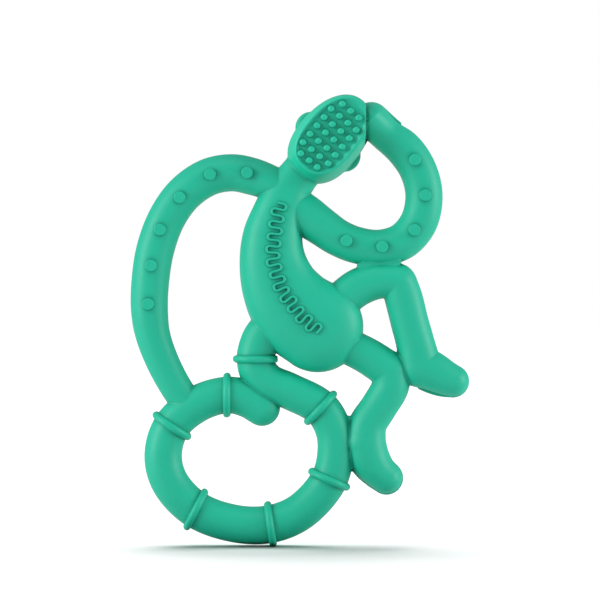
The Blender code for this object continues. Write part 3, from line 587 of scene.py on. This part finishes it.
class Region:
    """One piece's share of the whole skin."""
    MARGIN, DEPTH_MARGIN, PROBE = 1.6, 1.0, 0.02

    def __init__(self, name):
        self.name = name
        self.own = OWN.get(name, [name])
        near = {s for a, b, _ in FILLETS for s in (a, b) if a in self.own or b in self.own}
        self.others = sorted(near - set(self.own))
        self.names = self.own + self.others
        self.fillets = [(a, b, radius) for a, b, radius in FILLETS
                        if radius and a in self.names and b in self.names]
        self.lo = np.min([SHAPES[n].lo for n in self.own], 0) - self.MARGIN
        self.hi = np.max([SHAPES[n].hi for n in self.own], 0) + self.MARGIN
        self.deep = max(SHAPES[n].deep for n in self.own) + self.DEPTH_MARGIN

    def planes(self, xz):
        return {n: SHAPES[n].plane(xz) for n in self.names}

    def fields(self, planes, y):
        """The common skin's distance, and the distance to the cut that bounds this piece's share."""
        depths = {n: SHAPES[n].depth(planes[n], y) for n in self.names}
        skin = np.minimum.reduce(list(depths.values()))
        for a, b, radius in self.fillets:
            skin = np.minimum(skin, round_union(depths[a], depths[b], radius))
        mine, theirs = (np.minimum.reduce([depths[n] for n in part]) for part in (self.own, self.others))
        cut = (mine - theirs) * 0.5
        if self.name in ("head", "bristle_pad"):               # the pad is boxed out of the head
            box = np.maximum(planes["bristles"][1] + PAD_INSET, y - PAD_FRONT_Y)
            cut = np.maximum(cut, -box if self.name == "head" else box)
        return skin, cut

    def at(self, points):
        def part_fields(part):
            xz = np.ascontiguousarray(points[part][:, [0, 2]])
            return np.stack(self.fields(self.planes(xz), points[part, 1]))

        return np.concatenate(in_chunks(part_fields, len(points)), 1)

    def probe(self, points):
        """Both distances and their gradients, from four probes round each point."""
        skin, cut = np.zeros(len(points)), np.zeros(len(points))
        skin_slope, cut_slope = np.zeros_like(points), np.zeros_like(points)
        for way in np.array([[1, -1, -1], [-1, -1, 1], [-1, 1, -1], [1, 1, 1]], float):
            skin_there, cut_there = self.at(points + self.PROBE * way)
            skin += skin_there / 4
            cut += cut_there / 4
            skin_slope += way * skin_there[:, None]
            cut_slope += way * cut_there[:, None]
        return skin, cut, skin_slope / (4 * self.PROBE), cut_slope / (4 * self.PROBE)


# ---------------------------------------------------------------- meshing
CORNERS = [(i, j, k) for i in (0, 1) for j in (0, 1) for k in (0, 1)]
CUBE_EDGES = [(a, b) for a in range(8) for b in range(a + 1, 8)
              if sum(abs(p - q) for p, q in zip(CORNERS[a], CORNERS[b])) == 1]


def tangled_codes():
    """The cube sign patterns whose inside or outside corners are in more than one connected group."""
    tangled = np.zeros(256, bool)
    for code in range(256):
        for sign in (0, 1):
            left = {n for n in range(8) if (code >> n & 1) == sign}
            groups = 0
            while left:
                groups += 1
                todo = [left.pop()]
                while todo:
                    corner = todo.pop()
                    for n in list(left):
                        if (min(corner, n), max(corner, n)) in CUBE_EDGES:
                            left.remove(n)
                            todo.append(n)
            tangled[code] |= groups > 1
    return tangled


TANGLED = tangled_codes()
FILL_ONLY_AFTER = 9                       # from here on untangling only fills, which always comes to an end


def corner_view(grid, corner):
    """The grid's values at one corner of every cube."""
    return grid[tuple(slice(c, size - 1 + c) for c, size in zip(corner, grid.shape))]


def at_corners(grid, cells):
    return np.stack([grid[tuple((cells + np.array(corner)).T)] for corner in CORNERS], 1)


def untangle(field):
    """Flips the weakest corner of every cube whose surface would touch itself, so the mesh stays a clean sheet."""
    for turn in range(60):
        inside = field < 0
        code = np.zeros([size - 1 for size in field.shape], np.uint8)
        for i, corner in enumerate(CORNERS):
            code |= corner_view(inside, corner).astype(np.uint8) << i
        cells = np.argwhere(TANGLED[code])
        if not len(cells):
            break
        for cell in cells:
            places = [tuple(cell + corner) for corner in CORNERS]
            values = np.array([field[place] for place in places])
            cell_code = sum(int(value < 0) << i for i, value in enumerate(values))
            if not TANGLED[cell_code]:
                continue
            order = np.argsort(np.abs(values), kind="stable")
            if turn > FILL_ONLY_AFTER:
                order = [i for i in order if values[i] >= 0]
            for i in order:
                if not TANGLED[cell_code ^ (1 << int(i))]:
                    field[places[i]] = -1e-4 if values[i] >= 0 else 1e-4
                    break
            else:
                field[places[order[0]]] = -1e-4
    return field


def surface_nets(field, skin, cut):
    """Vertices and quads of field = 0, and which vertices' cells hold the skin and which the cut."""
    inside = field < 0
    count = sum(corner_view(inside, corner).astype(np.int8) for corner in CORNERS)
    active = (count > 0) & (count < 8)
    ids = np.full(active.shape, -1, np.int64)
    cells = np.argwhere(active)
    ids[active] = np.arange(len(cells))
    values = at_corners(field, cells)
    total, hits = np.zeros((len(cells), 3)), np.zeros(len(cells))
    for a, b in CUBE_EDGES:
        value_a, value_b = values[:, a], values[:, b]
        cross = (value_a < 0) != (value_b < 0)
        part = np.where(cross, value_a / np.where(cross, value_a - value_b, 1), 0)
        start, end = np.array(CORNERS[a], float), np.array(CORNERS[b], float)
        total += np.where(cross[:, None], start + (end - start) * part[:, None], 0)
        hits += cross
    verts = cells + total / hits[:, None]
    holds = []
    for grid in (skin, cut):
        below = (at_corners(grid, cells) < 0).sum(1)
        holds.append((below > 0) & (below < 8))
    quads = []
    for axis in range(3):
        low, high = [slice(None)] * 3, [slice(None)] * 3
        low[axis], high[axis] = slice(0, -1), slice(1, None)
        start = inside[tuple(low)]
        edges = np.argwhere(start != inside[tuple(high)])
        side, other = (axis + 1) % 3, (axis + 2) % 3
        within = ((edges[:, side] > 0) & (edges[:, other] > 0)
                  & (edges[:, side] < inside.shape[side] - 1) & (edges[:, other] < inside.shape[other] - 1))
        edges = edges[within]
        leaving = start[tuple(edges.T)]
        around = []
        for step_side, step_other in ((-1, -1), (0, -1), (0, 0), (-1, 0)):
            cell = edges.copy()
            cell[:, side] += step_side
            cell[:, other] += step_other
            around.append(ids[tuple(cell.T)])
        ring = np.stack(around, 1)
        ring[~leaving] = ring[~leaving][:, ::-1]
        quads.append(ring)
    return verts, np.concatenate(quads), *holds


ON_SKIN, ON_CUT, ON_CREASE = 0, 1, 2


def settle(region, points, kind, rounds):
    """Moves skin points on to the skin, cut points on to the cut, and crease points on to both."""
    on_skin, on_cut, on_crease = kind == ON_SKIN, kind == ON_CUT, kind == ON_CREASE
    for _ in range(rounds):
        skin, cut, skin_slope, cut_slope = region.probe(points)
        step = np.zeros_like(points)
        skin2, cut2 = (skin_slope * skin_slope).sum(1), (cut_slope * cut_slope).sum(1)
        shared = (skin_slope * cut_slope).sum(1)
        to_skin = -(skin / np.maximum(skin2, 1e-6))
        step[on_skin] = to_skin[on_skin, None] * skin_slope[on_skin]
        step[on_cut] = -(cut / np.maximum(cut2, 1e-6))[on_cut, None] * cut_slope[on_cut]
        det = skin2 * cut2 - shared * shared
        good = det > 0.05 * skin2 * cut2                   # the two surfaces cross at a clear angle
        safe = np.where(good, det, 1)
        along_skin = np.where(good, (-skin * cut2 + cut * shared) / safe, to_skin)
        along_cut = np.where(good, (-cut * skin2 + skin * shared) / safe, 0)
        both = along_skin[:, None] * skin_slope + along_cut[:, None] * cut_slope
        step[on_crease] = both[on_crease]
        size = np.linalg.norm(step, axis=1)
        step *= np.minimum(1, 0.6 * MESH_SIZE / np.maximum(size, 1e-9))[:, None]
        points = points + step
    return points


def even_out(region, points, quads, kind):
    """Spreads the points along the surface, then puts them back on it; creases keep their places."""
    edges = np.concatenate([quads[:, [i, (i + 1) % 4]] for i in range(4)])
    for _ in range(2):
        total, count = np.zeros_like(points), np.zeros(len(points))
        for here, there in ((0, 1), (1, 0)):
            np.add.at(total, edges[:, here], points[edges[:, there]])
            np.add.at(count, edges[:, here], 1)
        mean = total / np.maximum(count, 1)[:, None]
        points = np.where((kind != ON_CREASE)[:, None], points * 0.45 + mean * 0.55, points)
        points = settle(region, points, kind, 1)
    return points


def corner_normals(region, points, quads, kind):
    """Skin faces follow the skin's normals, cut faces are flat."""
    _, _, skin_slope, cut_slope = region.probe(points)
    skin_normal, cut_normal = unit(skin_slope)[quads], unit(cut_slope)[quads]
    corners = points[quads]
    flat = unit(np.cross(corners[:, 2] - corners[:, 0], corners[:, 3] - corners[:, 1]))
    nearer_skin = (skin_normal.mean(1) * flat).sum(1) > (cut_normal.mean(1) * flat).sum(1)
    kinds = kind[quads]
    is_skin = (kinds == ON_SKIN).any(1) | (~(kinds == ON_CUT).any(1) & nearer_skin)
    return np.where(is_skin[:, None, None], skin_normal, np.repeat(flat[:, None, :], 4, 1))


def expand(planes):
    """Gives every plane measure an axis for y."""
    return [expand(p) for p in planes] if isinstance(planes, list) else planes[:, :, None]


def mesh_region(name, size):
    """Points, quads and corner normals of one piece."""
    region = Region(name)
    grid_x, grid_z = (np.arange(math.floor(lo / size), math.ceil(hi / size) + 1) * size
                      for lo, hi in zip(region.lo, region.hi))
    layers = math.ceil(region.deep / size)
    grid_y = (np.arange(-layers - 1, layers + 2) + 0.37) * size
    all_x, all_z = np.meshgrid(grid_x, grid_z, indexing="ij")
    flat = np.stack([all_x.ravel(), all_z.ravel()], 1)

    def columns(part):
        planes = {n: expand(p) for n, p in region.planes(flat[part]).items()}
        return np.stack(region.fields(planes, grid_y[None, :])).astype(np.float32)

    skin, cut = np.concatenate(in_chunks(columns, len(flat), 400), 1)
    skin = skin.reshape(len(grid_x), len(grid_z), len(grid_y))
    cut = cut.reshape(skin.shape)
    verts, quads, holds_skin, holds_cut = surface_nets(untangle(np.maximum(skin, cut)), skin, cut)
    points = np.stack([grid_x[0] + verts[:, 0] * size, grid_y[0] + verts[:, 2] * size,
                       grid_z[0] + verts[:, 1] * size], 1)
    quads = quads[:, ::-1]                                # the grid's x, z, y order mirrors the winding
    kind = np.where(holds_skin & holds_cut, ON_CREASE, np.where(holds_cut, ON_CUT, ON_SKIN))
    points = settle(region, points, kind, 3)
    points = even_out(region, points, quads, kind)
    points = settle(region, points, kind, 1)
    return points, quads, corner_normals(region, points, quads, kind)


# ---------------------------------------------------------------- materials
def add_node(tree, kind, inputs=None, **settings):
    """Makes a shader node; each input is given a value or the socket that feeds it."""
    node = tree.nodes.new("ShaderNode" + kind)
    for key, value in settings.items():
        setattr(node, key, value)
    for key, value in (inputs or {}).items():
        if isinstance(value, bpy.types.NodeSocket):
            tree.links.new(value, node.inputs[key])
        else:
            node.inputs[key].default_value = value
    return node


def silicone(name, shade=1.0, seed=0.0):
    """Soft-touch moulded silicone: a faint mottle in colour, a satin broken up by finger wear, a fine
    grain from the tool's blasted surface and a little light carried under the skin."""
    material = bpy.data.materials.new(name)
    material.use_nodes = True
    tree = material.node_tree
    tree.nodes.clear()
    object_space = add_node(tree, "TexCoord").outputs["Object"]
    place = add_node(tree, "Mapping", {"Vector": object_space, "Location": (seed, seed * 0.7, seed * 1.3)})

    def noise(scale, detail, roughness, distortion=0.0):
        return add_node(tree, "TexNoise", {
            "Vector": place.outputs["Vector"], "Scale": scale, "Detail": detail,
            "Roughness": roughness, "Distortion": distortion}).outputs["Fac"]

    def ramp(factor, stops):
        node = add_node(tree, "ValToRGB", {"Fac": factor})
        elements = node.color_ramp.elements
        while len(elements) < len(stops):
            elements.new(0.5)
        for i, (position, colour) in enumerate(stops):
            elements[i].position = position
            elements[i].color = (*colour, 1.0)
        return node.outputs["Color"]

    def bump(strength, distance, height):
        return add_node(tree, "Bump", {"Strength": strength, "Distance": distance, "Height": height})

    base = np.array([0.006, 0.525, 0.336]) * shade
    darker, lighter = base * (0.80, 0.97, 0.96), base * (1.3, 1.03, 1.04)
    mottle = ramp(noise(scale=95.0, detail=3.0, roughness=0.55, distortion=0.4),
                  [(0.25, darker), (0.55, base), (0.85, lighter)])
    # pale bloom where fine dust and handling settle on the soft surface
    spots = ramp(noise(scale=1400.0, detail=2.0, roughness=0.6), [(0.62, (0, 0, 0)), (0.80, (1, 1, 1))])
    spots = add_node(tree, "RGBToBW", {"Color": spots}).outputs["Val"]
    amount = add_node(tree, "Math", {0: spots, 1: 0.05}, operation="MULTIPLY")
    bloom = add_node(tree, "Mix", {"Factor": amount.outputs["Value"], "A": mottle,
                                   "B": (0.18, 0.62, 0.48, 1.0)}, data_type="RGBA")
    # painted shade: an ambient-occlusion factor (depth) darkens the base colour in creases and at the feet of
    # raised details, where less light reaches
    crease_shade_ao = add_node(tree, "AmbientOcclusion", {"Distance": 0.0015}, samples=8)
    depth = add_node(tree, "MapRange", {
        "Value": crease_shade_ao.outputs["AO"], "From Min": 0.22, "From Max": 0.94,
        "To Min": 0.16, "To Max": 1.0}).outputs["Result"]
    painted_crease_shade = add_node(tree, "Mix", {"Factor": 1.0, "A": bloom.outputs["Result"], "B": depth},
                      data_type="RGBA", blend_type="MULTIPLY")
    rough = add_node(tree, "MapRange", {"Value": noise(scale=240.0, detail=4.0, roughness=0.6),
                                        "To Min": 0.43, "To Max": 0.57})
    grain = bump(strength=0.16, distance=0.00004, height=noise(scale=5200.0, detail=2.0, roughness=0.5))
    ripple = bump(strength=0.10, distance=0.00035, height=noise(scale=130.0, detail=1.0, roughness=0.4))
    tree.links.new(ripple.outputs["Normal"], grain.inputs["Normal"])
    # no sheen of light deep in a crease
    shine = add_node(tree, "Math", {0: depth, 1: 0.55}, operation="MULTIPLY")
    surface = add_node(tree, "BsdfPrincipled", {
        "Base Color": painted_crease_shade.outputs["Result"], "Roughness": rough.outputs["Result"],
        "Normal": grain.outputs["Normal"], "IOR": 1.43, "Specular IOR Level": shine.outputs["Value"],
        "Subsurface Weight": 0.12, "Subsurface Radius": (0.25, 1.0, 0.75), "Subsurface Scale": 0.0012,
        "Sheen Weight": 0.01, "Sheen Roughness": 0.5, "Sheen Tint": (0.6, 1.0, 0.88, 1.0)})
    add_node(tree, "OutputMaterial", {"Surface": surface.outputs["BSDF"]})
    material.diffuse_color = (*base, 1.0)
    return material


# ---------------------------------------------------------------- making pieces
def present(mesh, material, cad_name):
    """Makes the mesh a piece that rides on the one body and stands for a CAD node."""
    mesh.materials.append(material)
    piece = bpy.data.objects.new(mesh.name, mesh)
    bpy.context.scene.collection.objects.link(piece)
    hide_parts(cad_name)
    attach(piece, "root")


def add_skin(name, points, quads, normals, material, slot, cad_name):
    mesh = bpy.data.meshes.new(name)
    mesh.vertices.add(len(points))
    mesh.vertices.foreach_set("co", ((points + OFFSET) * MM).astype(np.float32).ravel())
    mesh.loops.add(quads.size)
    mesh.loops.foreach_set("vertex_index", quads.astype(np.int32).ravel())
    mesh.polygons.add(len(quads))
    mesh.polygons.foreach_set("loop_start", np.arange(0, quads.size, 4, dtype=np.int32))
    mesh.update(calc_edges=True)
    mesh.polygons.foreach_set("use_smooth", np.ones(len(mesh.polygons), bool))
    mesh.validate()
    if len(mesh.loops) == quads.size:                     # validate may have dropped a broken face
        mesh.normals_split_custom_set(normals.reshape(-1, 3).astype(np.float32))
    present(mesh, material, cad_name)


def flat_normal(corners):
    """Of a triangle, or of a quad from its diagonals."""
    if len(corners) == 3:
        return unit(np.cross(corners[1] - corners[0], corners[2] - corners[0]))
    return unit(np.cross(corners[2] - corners[0], corners[3] - corners[1]))


def grid_faces(seen, inner, wrap_rows, wrap_along):
    """Points, quads and corner normals of a grid: the seen rows get smooth normals, the inner rows, which
    close the solid inside the body, get flat ones. Either way of the grid may wrap round."""
    seen = np.array(seen)
    rows = np.concatenate([seen, np.array(inner)])
    count, length = rows.shape[:2]
    along = np.roll(seen, -1, 1) - np.roll(seen, 1, 1) if wrap_along else np.gradient(seen, axis=1)
    smooth = unit(np.cross(along, np.gradient(seen, axis=0)))
    faces, normals = [], []
    for i in range(count if wrap_rows else count - 1):
        for j in range(length if wrap_along else length - 1):
            i_next, j_next = (i + 1) % count, (j + 1) % length
            ring = (i, j), (i, j_next), (i_next, j_next), (i_next, j)
            faces.append([row * length + column for row, column in ring])
            if i < len(seen) - 1:
                normals.append([smooth[c] for c in ring])
            else:
                normals.append([flat_normal([rows[c] for c in ring])] * 4)
    return rows.reshape(-1, 3), faces, normals, smooth


def add_solid(name, points, faces, normals, material, cad_name):
    """Adds a closed solid, turned so that its faces look outwards."""
    volume = sum(points[f[0]] @ np.cross(points[f[i]], points[f[i + 1]])
                 for f in faces for i in range(1, len(f) - 1))
    if volume < 0:
        faces, normals = [face[::-1] for face in faces], [row[::-1] for row in normals]
    mesh = bpy.data.meshes.new(name)
    mesh.from_pydata(((points + OFFSET) * MM).tolist(), [], faces)
    mesh.polygons.foreach_set("use_smooth", np.ones(len(mesh.polygons), bool))
    mesh.update()
    # the given normals may mirror the winding: each is turned to face the same way as its face
    corners = np.array([normal for row in normals for normal in row], float)
    facing = np.array([face.normal for face in mesh.polygons])
    facing = np.repeat(facing, [len(face) for face in faces], axis=0)
    corners[(corners * facing).sum(1) < 0] *= -1
    mesh.normals_split_custom_set(corners.astype(np.float32))
    present(mesh, material, cad_name)


def add_button(name, rows, under, poles, outward, material, cad_name):
    """A solid of rings from its top down, closed by a fan at each pole; outward is the top's normal."""
    points, faces, normals, smooth = grid_faces(rows, [under], wrap_rows=False, wrap_along=True)
    top, bottom, last = len(points), len(points) + 1, len(points) - len(under)
    points = np.vstack([points, poles])
    for i in range(len(under)):
        i_next = (i + 1) % len(under)
        faces.append([top, i_next, i])
        normals.append([np.array(outward), smooth[0, i_next], smooth[0, i]])
        face = [last + i, last + i_next, bottom]
        faces.append(face)
        normals.append([flat_normal(points[face])] * 3)
    add_solid(name, points, faces, normals, material, cad_name)


def skin_under(xz, name):
    """The points of the back surface under each (x, z)."""
    region = Region(name)
    xz = np.ascontiguousarray(xz)

    def fall(part):
        planes = region.planes(xz[part])
        low, high = np.full(len(xz[part]), -13.0), np.zeros(len(xz[part]))
        for _ in range(20):
            middle = (low + high) / 2
            outside = region.fields(planes, middle)[0] > 0
            low, high = np.where(outside, middle, low), np.where(outside, high, middle)
        return high

    return np.stack([xz[:, 0], np.concatenate(in_chunks(fall, len(xz), 2000)), xz[:, 1]], 1)


def bead_profile(radius, fillet, arc_steps, fillet_steps, lift):
    """A round bead on a surface, its centre lifted off it: (across, height), with base fillets."""
    reach = math.sqrt((radius + fillet) ** 2 - (fillet - lift) ** 2)
    start = math.atan2(fillet - lift, reach)              # from the bead's centre to the fillet's
    foot = [(reach - fillet * math.sin(a), fillet - fillet * math.cos(a))
            for a in np.linspace(0, math.pi / 2 - start, fillet_steps + 1)[:-1]]
    arc = [(radius * math.cos(a), lift + radius * math.sin(a))
           for a in np.linspace(start, math.pi - start, arc_steps + 1)]
    return np.array(foot + arc + [(-across, height) for across, height in foot[::-1]])


def tail_distance(points):
    xz = np.ascontiguousarray(points[:, [0, 2]])
    return np.minimum.reduce([SHAPES[n].depth(SHAPES[n].plane(xz), points[:, 1]) for n in TAIL_PARTS])


def full_turn(count):
    return np.linspace(0, 2 * math.pi, count, endpoint=False)


def add_band(number, start, end, material):
    """A bead round the tail that follows the tube, so its foot meets the skin all the way round."""
    start, end = np.array(start), np.array(end)
    centre, half = (start + end) / 2, np.hypot(*(end - start)) / 2
    across_x, across_z = (end - start) / (2 * half)
    across, along = np.array([across_x, 0.0, across_z]), np.array([-across_z, 0.0, across_x])
    through = np.array([0.0, 1.0, 0.0])
    angle = full_turn(96)
    outward = unit(np.stack([np.cos(angle) / half, np.sin(angle) / BAND_HALF_DEPTH], 1))
    outward = outward[:, :1] * across + outward[:, 1:] * through
    middle = (np.array([centre[0], 0.0, centre[1]]) + (half * np.cos(angle))[:, None] * across
              + (BAND_HALF_DEPTH * np.sin(angle))[:, None] * through)

    def ring(shift, height):
        points = middle + shift * along
        for _ in range(14):                               # on to the tail, but never far from the ellipse
            points = points - np.clip(tail_distance(points), -0.5, 0.5)[:, None] * outward
            off = ((points - middle) * outward).sum(1)
            points = points - (off - np.clip(off, -0.3, 0.3))[:, None] * outward
        return points + height * outward

    profile = bead_profile(BAND_RADIUS, BAND_FILLET, arc_steps=14,
                           fillet_steps=5, lift=BAND_LIFT)
    seen = [ring(shift, height) for shift, height in profile]
    inner = [ring(profile[i][0], -BAND_SUNK) for i in (-1, 0)]
    points, faces, normals, _ = grid_faces(seen, inner, wrap_rows=True, wrap_along=True)
    add_solid(f"band_{number}", points, faces, normals, material, f"tail_band_{number}")


def add_nub(arm, number, x, z, material):
    """A round grip nub on the back of an arm."""
    angle = full_turn(48)
    top = skin_under(np.array([[x, z]]), arm)[0, 1] - NUB_PROUD

    def circle(radius, y):
        return np.stack([x + radius * np.cos(angle), y + 0 * angle, z + radius * np.sin(angle)], 1)

    rows = [circle(radius, top + NUB_DIMPLE * max(0.0, 1 - radius / NUB_FLAT) ** 0.8)
            for radius in (0.2, 0.5, 0.8, NUB_FLAT)]
    rows += [circle(NUB_RADIUS - NUB_EDGE + NUB_EDGE * math.sin(a), top + NUB_EDGE * (1 - math.cos(a)))
             for a in np.linspace(0.0, math.pi / 2, 6)]
    for part in np.linspace(0, 1, 6):                     # wall down into the base fillet
        a = part * math.pi / 2
        radius = NUB_RADIUS + NUB_FILLET * (1 - math.cos(a))
        foot = skin_under(circle(radius, 0)[:, [0, 2]], arm)
        rows.append(circle(radius, foot[:, 1] - NUB_FILLET * (1 - math.sin(a)) - 0.004))
    poles = np.array([[x, top + NUB_DIMPLE, z], [x, top + NUB_POLE, z]])
    add_button(f"nub_{arm[4:]}_{number}", rows, foot + np.array([0, NUB_SUNK, 0]), poles, (0, -1.0, 0),
               material, f"{arm}_nub_{number}")


def add_eye(name, side, material):
    angle = full_turn(40)
    centre = head_point(EYE_ALONG, side * EYE_ACROSS)
    rows = []
    for rise in np.linspace(math.pi / 2 - 0.12, 0.0, 10):
        along, across = EYE_LENGTH * math.cos(rise), EYE_WIDTH * math.cos(rise)
        xz = (centre + (along * np.cos(angle))[:, None] * CROWNWARD
              + (across * np.sin(angle))[:, None] * RIGHTWARD)
        rows.append(np.stack([xz[:, 0], EYE_Y + EYE_HEIGHT * math.sin(rise) + 0 * angle, xz[:, 1]], 1))
    poles = np.array([[centre[0], y, centre[1]] for y in (EYE_Y + EYE_HEIGHT, EYE_Y - EYE_SUNK)])
    add_button("face_" + name, rows, rows[-1] + np.array([0, -EYE_SUNK, 0]), poles, (0, 1.0, 0),
               material, name)


def rib_path():
    """x, z along the rib: straight bars joined by half-round turns at alternate ends."""
    middle = spline(RIB_LINE, 0.15)[0][:, :2]
    run, direction = run_length(middle), tangents(middle)
    turn = RIB_PITCH / 2
    reach = RIB_SWING - turn
    bars = int(run[-1] / RIB_PITCH)
    plan = []                                             # distance along the middle line, offset from it
    for i in range(bars):
        side, at = (1 if i % 2 == 0 else -1), (i + 0.5) * RIB_PITCH
        plan += [(at, -side * reach + 2 * side * reach * k / 12) for k in range(13)]
        if i < bars - 1:
            plan += [(at + turn - turn * math.cos(a), side * (reach + turn * math.sin(a)))
                     for a in np.linspace(0, math.pi, 14)[1:-1]]
    plan = np.array(plan)
    centre = np.stack([np.interp(plan[:, 0], run, middle[:, j]) for j in (0, 1)], 1)
    ahead = unit(np.stack([np.interp(plan[:, 0], run, direction[:, j]) for j in (0, 1)], 1))
    wave = centre + plan[:, 1:] * np.stack([-ahead[:, 1], ahead[:, 0]], 1)
    run = run_length(wave)
    even = np.linspace(0, run[-1], int(run[-1] / RIB_STEP))
    return np.stack([np.interp(even, run, wave[:, j]) for j in (0, 1)], 1), even


def add_rib(material):
    """The meandering raised rib down the back."""
    path, run = rib_path()
    # the far ends are rounded off by narrowing the last stretch
    to_end = np.minimum(run, run[-1] - run)
    size = np.sqrt(np.clip(1 - np.clip(1 - to_end / RIB_RADIUS, 0, 1) ** 2, 0.01, 1))
    foot = skin_under(path, "torso")
    up = unit(Region("torso").probe(foot)[2])
    sideways = unit(np.cross(unit(np.gradient(foot, axis=0)), up))
    seen = []
    for shift, height in bead_profile(RIB_RADIUS, RIB_FILLET, arc_steps=8, fillet_steps=2, lift=RIB_LIFT):
        base = foot + sideways * (shift * size)[:, None]
        seen.append(skin_under(base[:, [0, 2]], "torso") + up * (height * size)[:, None])
    inner = [seen[i] - up * RIB_SUNK for i in (-1, 0)]
    points, faces, normals, _ = grid_faces(seen, inner, wrap_rows=True, wrap_along=False)
    count, length = len(seen) + len(inner), len(path)
    for end in (0, length - 1):                           # a fan closes each end
        rim = [i * length + end for i in range(count)]
        points = np.vstack([points, points[rim].mean(0)])
        for i in range(count):
            pair = [rim[i], rim[(i + 1) % count]]
            face = (pair if end == 0 else pair[::-1]) + [len(points) - 1]
            faces.append(face)
            normals.append([flat_normal(points[face])] * 3)
    add_solid("back_wave", points, faces, normals, material, "back_rib")


# ---------------------------------------------------------------- the figure
skin_material = silicone("silicone_skin")
for name, fineness in SKIN_PIECES.items():
    add_skin("skin_" + name, *mesh_region(name, MESH_SIZE * fineness), skin_material, "silicone_body", name)
add_skin("brush_field", *mesh_region("bristle_pad", PAD_MESH_SIZE),
         silicone("silicone_brush", shade=0.985, seed=3.1), "silicone_brush", "bristle_pad")

band_material = silicone("silicone_bands", seed=7.7)
for number, (start, end) in enumerate(BAND_LINES, 1):
    add_band(number, start, end, band_material)

nub_material = silicone("silicone_nubs", seed=11.3)
for arm, spots in NUBS.items():
    for number, (x, z) in enumerate(spots, 1):
        add_nub(arm, number, x, z, nub_material)

face_material = silicone("silicone_face", shade=0.9, seed=5.9)
add_eye("eye_left", -1, face_material)
add_eye("eye_right", 1, face_material)
add_rib(silicone("silicone_rib", seed=2.3))


# ---------------------------------------------------------------- floor, world, lights, camera (metres)
def camera_split(tree, output, kind, seen, lighting):
    """Shows the camera one shader and lights the scene with another of the same kind."""
    tree.nodes.clear()
    seen, lighting = (add_node(tree, kind, inputs).outputs[0] for inputs in (seen, lighting))
    is_camera = add_node(tree, "LightPath").outputs["Is Camera Ray"]
    mix = add_node(tree, "MixShader", {"Fac": is_camera, 1: lighting, 2: seen})
    add_node(tree, output, {"Surface": mix.outputs["Shader"]})


def add_floor(half=4):
    mesh = bpy.data.meshes.new("studio_floor")
    mesh.from_pydata([(-half, -half, 0), (half, -half, 0), (half, half, 0), (-half, half, 0)],
                     [], [(0, 1, 2, 3)])
    material = bpy.data.materials.new("studio_floor")
    material.use_nodes = True
    camera_split(material.node_tree, "OutputMaterial", "BsdfDiffuse",
                 seen={"Color": (0.94, 0.94, 0.94, 1)}, lighting={"Color": (0.60, 0.60, 0.60, 1)})
    mesh.materials.append(material)
    floor = bpy.data.objects.new("studio_floor", mesh)
    bpy.context.scene.collection.objects.link(floor)
    return floor


def area_light(name, at, size, watts, aim=(0, 0, 0.06)):
    """A rectangle of light, size wide by high, turned towards aim."""
    data = bpy.data.lights.new(name, "AREA")
    data.shape, data.energy = "RECTANGLE", watts
    data.size, data.size_y = size
    light = bpy.data.objects.new(name, data)
    light.location = at
    light.rotation_euler = (Vector(aim) - Vector(at)).to_track_quat("-Z", "Y").to_euler()
    scene.collection.objects.link(light)
    return light


def only_for(light, name, members):
    """Light linking: the light reaches only these objects."""
    receivers = bpy.data.collections.new(name)
    for member in members:
        receivers.objects.link(member)
    light.light_linking.receiver_collection = receivers


scene = bpy.context.scene
floor = add_floor()
scene.view_settings.view_transform = "Standard"
scene.view_settings.look = "None"
scene.world = bpy.data.worlds.new("studio")
scene.world.use_nodes = True
camera_split(scene.world.node_tree, "OutputWorld", "Background",
             seen={"Color": (1, 1, 1, 1), "Strength": 1.0},
             lighting={"Color": (0.97, 0.985, 1.0, 1), "Strength": 0.40})

figure = [o for o in scene.objects if o.type == "MESH" and o is not floor]
figure_lights = [
    area_light("key_left", at=(-0.96, -0.44, 0.36), size=(0.4, 0.7), watts=6.8),
    area_light("fill_right", at=(1.0, -0.22, 0.20), size=(0.35, 0.7), watts=6.9),
    area_light("top", at=(-0.1, -0.40, 1.0), size=(0.6, 0.4), watts=1.3)]
for light in figure_lights:
    only_for(light, light.name + "_figure", figure)
glint = area_light("glint_head", at=(-0.85, -0.30, 0.62), size=(0.3, 0.3), watts=2.6, aim=(0.008, 0, 0.10))
only_for(glint, "glint_head_only", [o for o in figure if o.name in ("skin_head", "brush_field")])

sun = bpy.data.lights.new("floor_wash", "SUN")
sun.energy, sun.angle = 2.9, math.radians(50)
floor_wash = bpy.data.objects.new("floor_wash", sun)
floor_wash.rotation_euler = (math.radians(-14), 0, 0)
scene.collection.objects.link(floor_wash)
only_for(floor_wash, "floor_only", [floor])

lens = bpy.data.cameras.new("camera")
lens.lens, lens.sensor_width, lens.clip_start = 156.0, 36.0, 0.01
camera = bpy.data.objects.new("camera", lens)
# level with the figure's middle, looking along +Y at its back
camera.location = (OFFSET[0] * MM, -0.65 + OFFSET[1] * MM, (61.5 + OFFSET[2]) * MM)
camera.rotation_euler = (math.pi / 2, 0, 0)
scene.collection.objects.link(camera)
scene.camera = camera
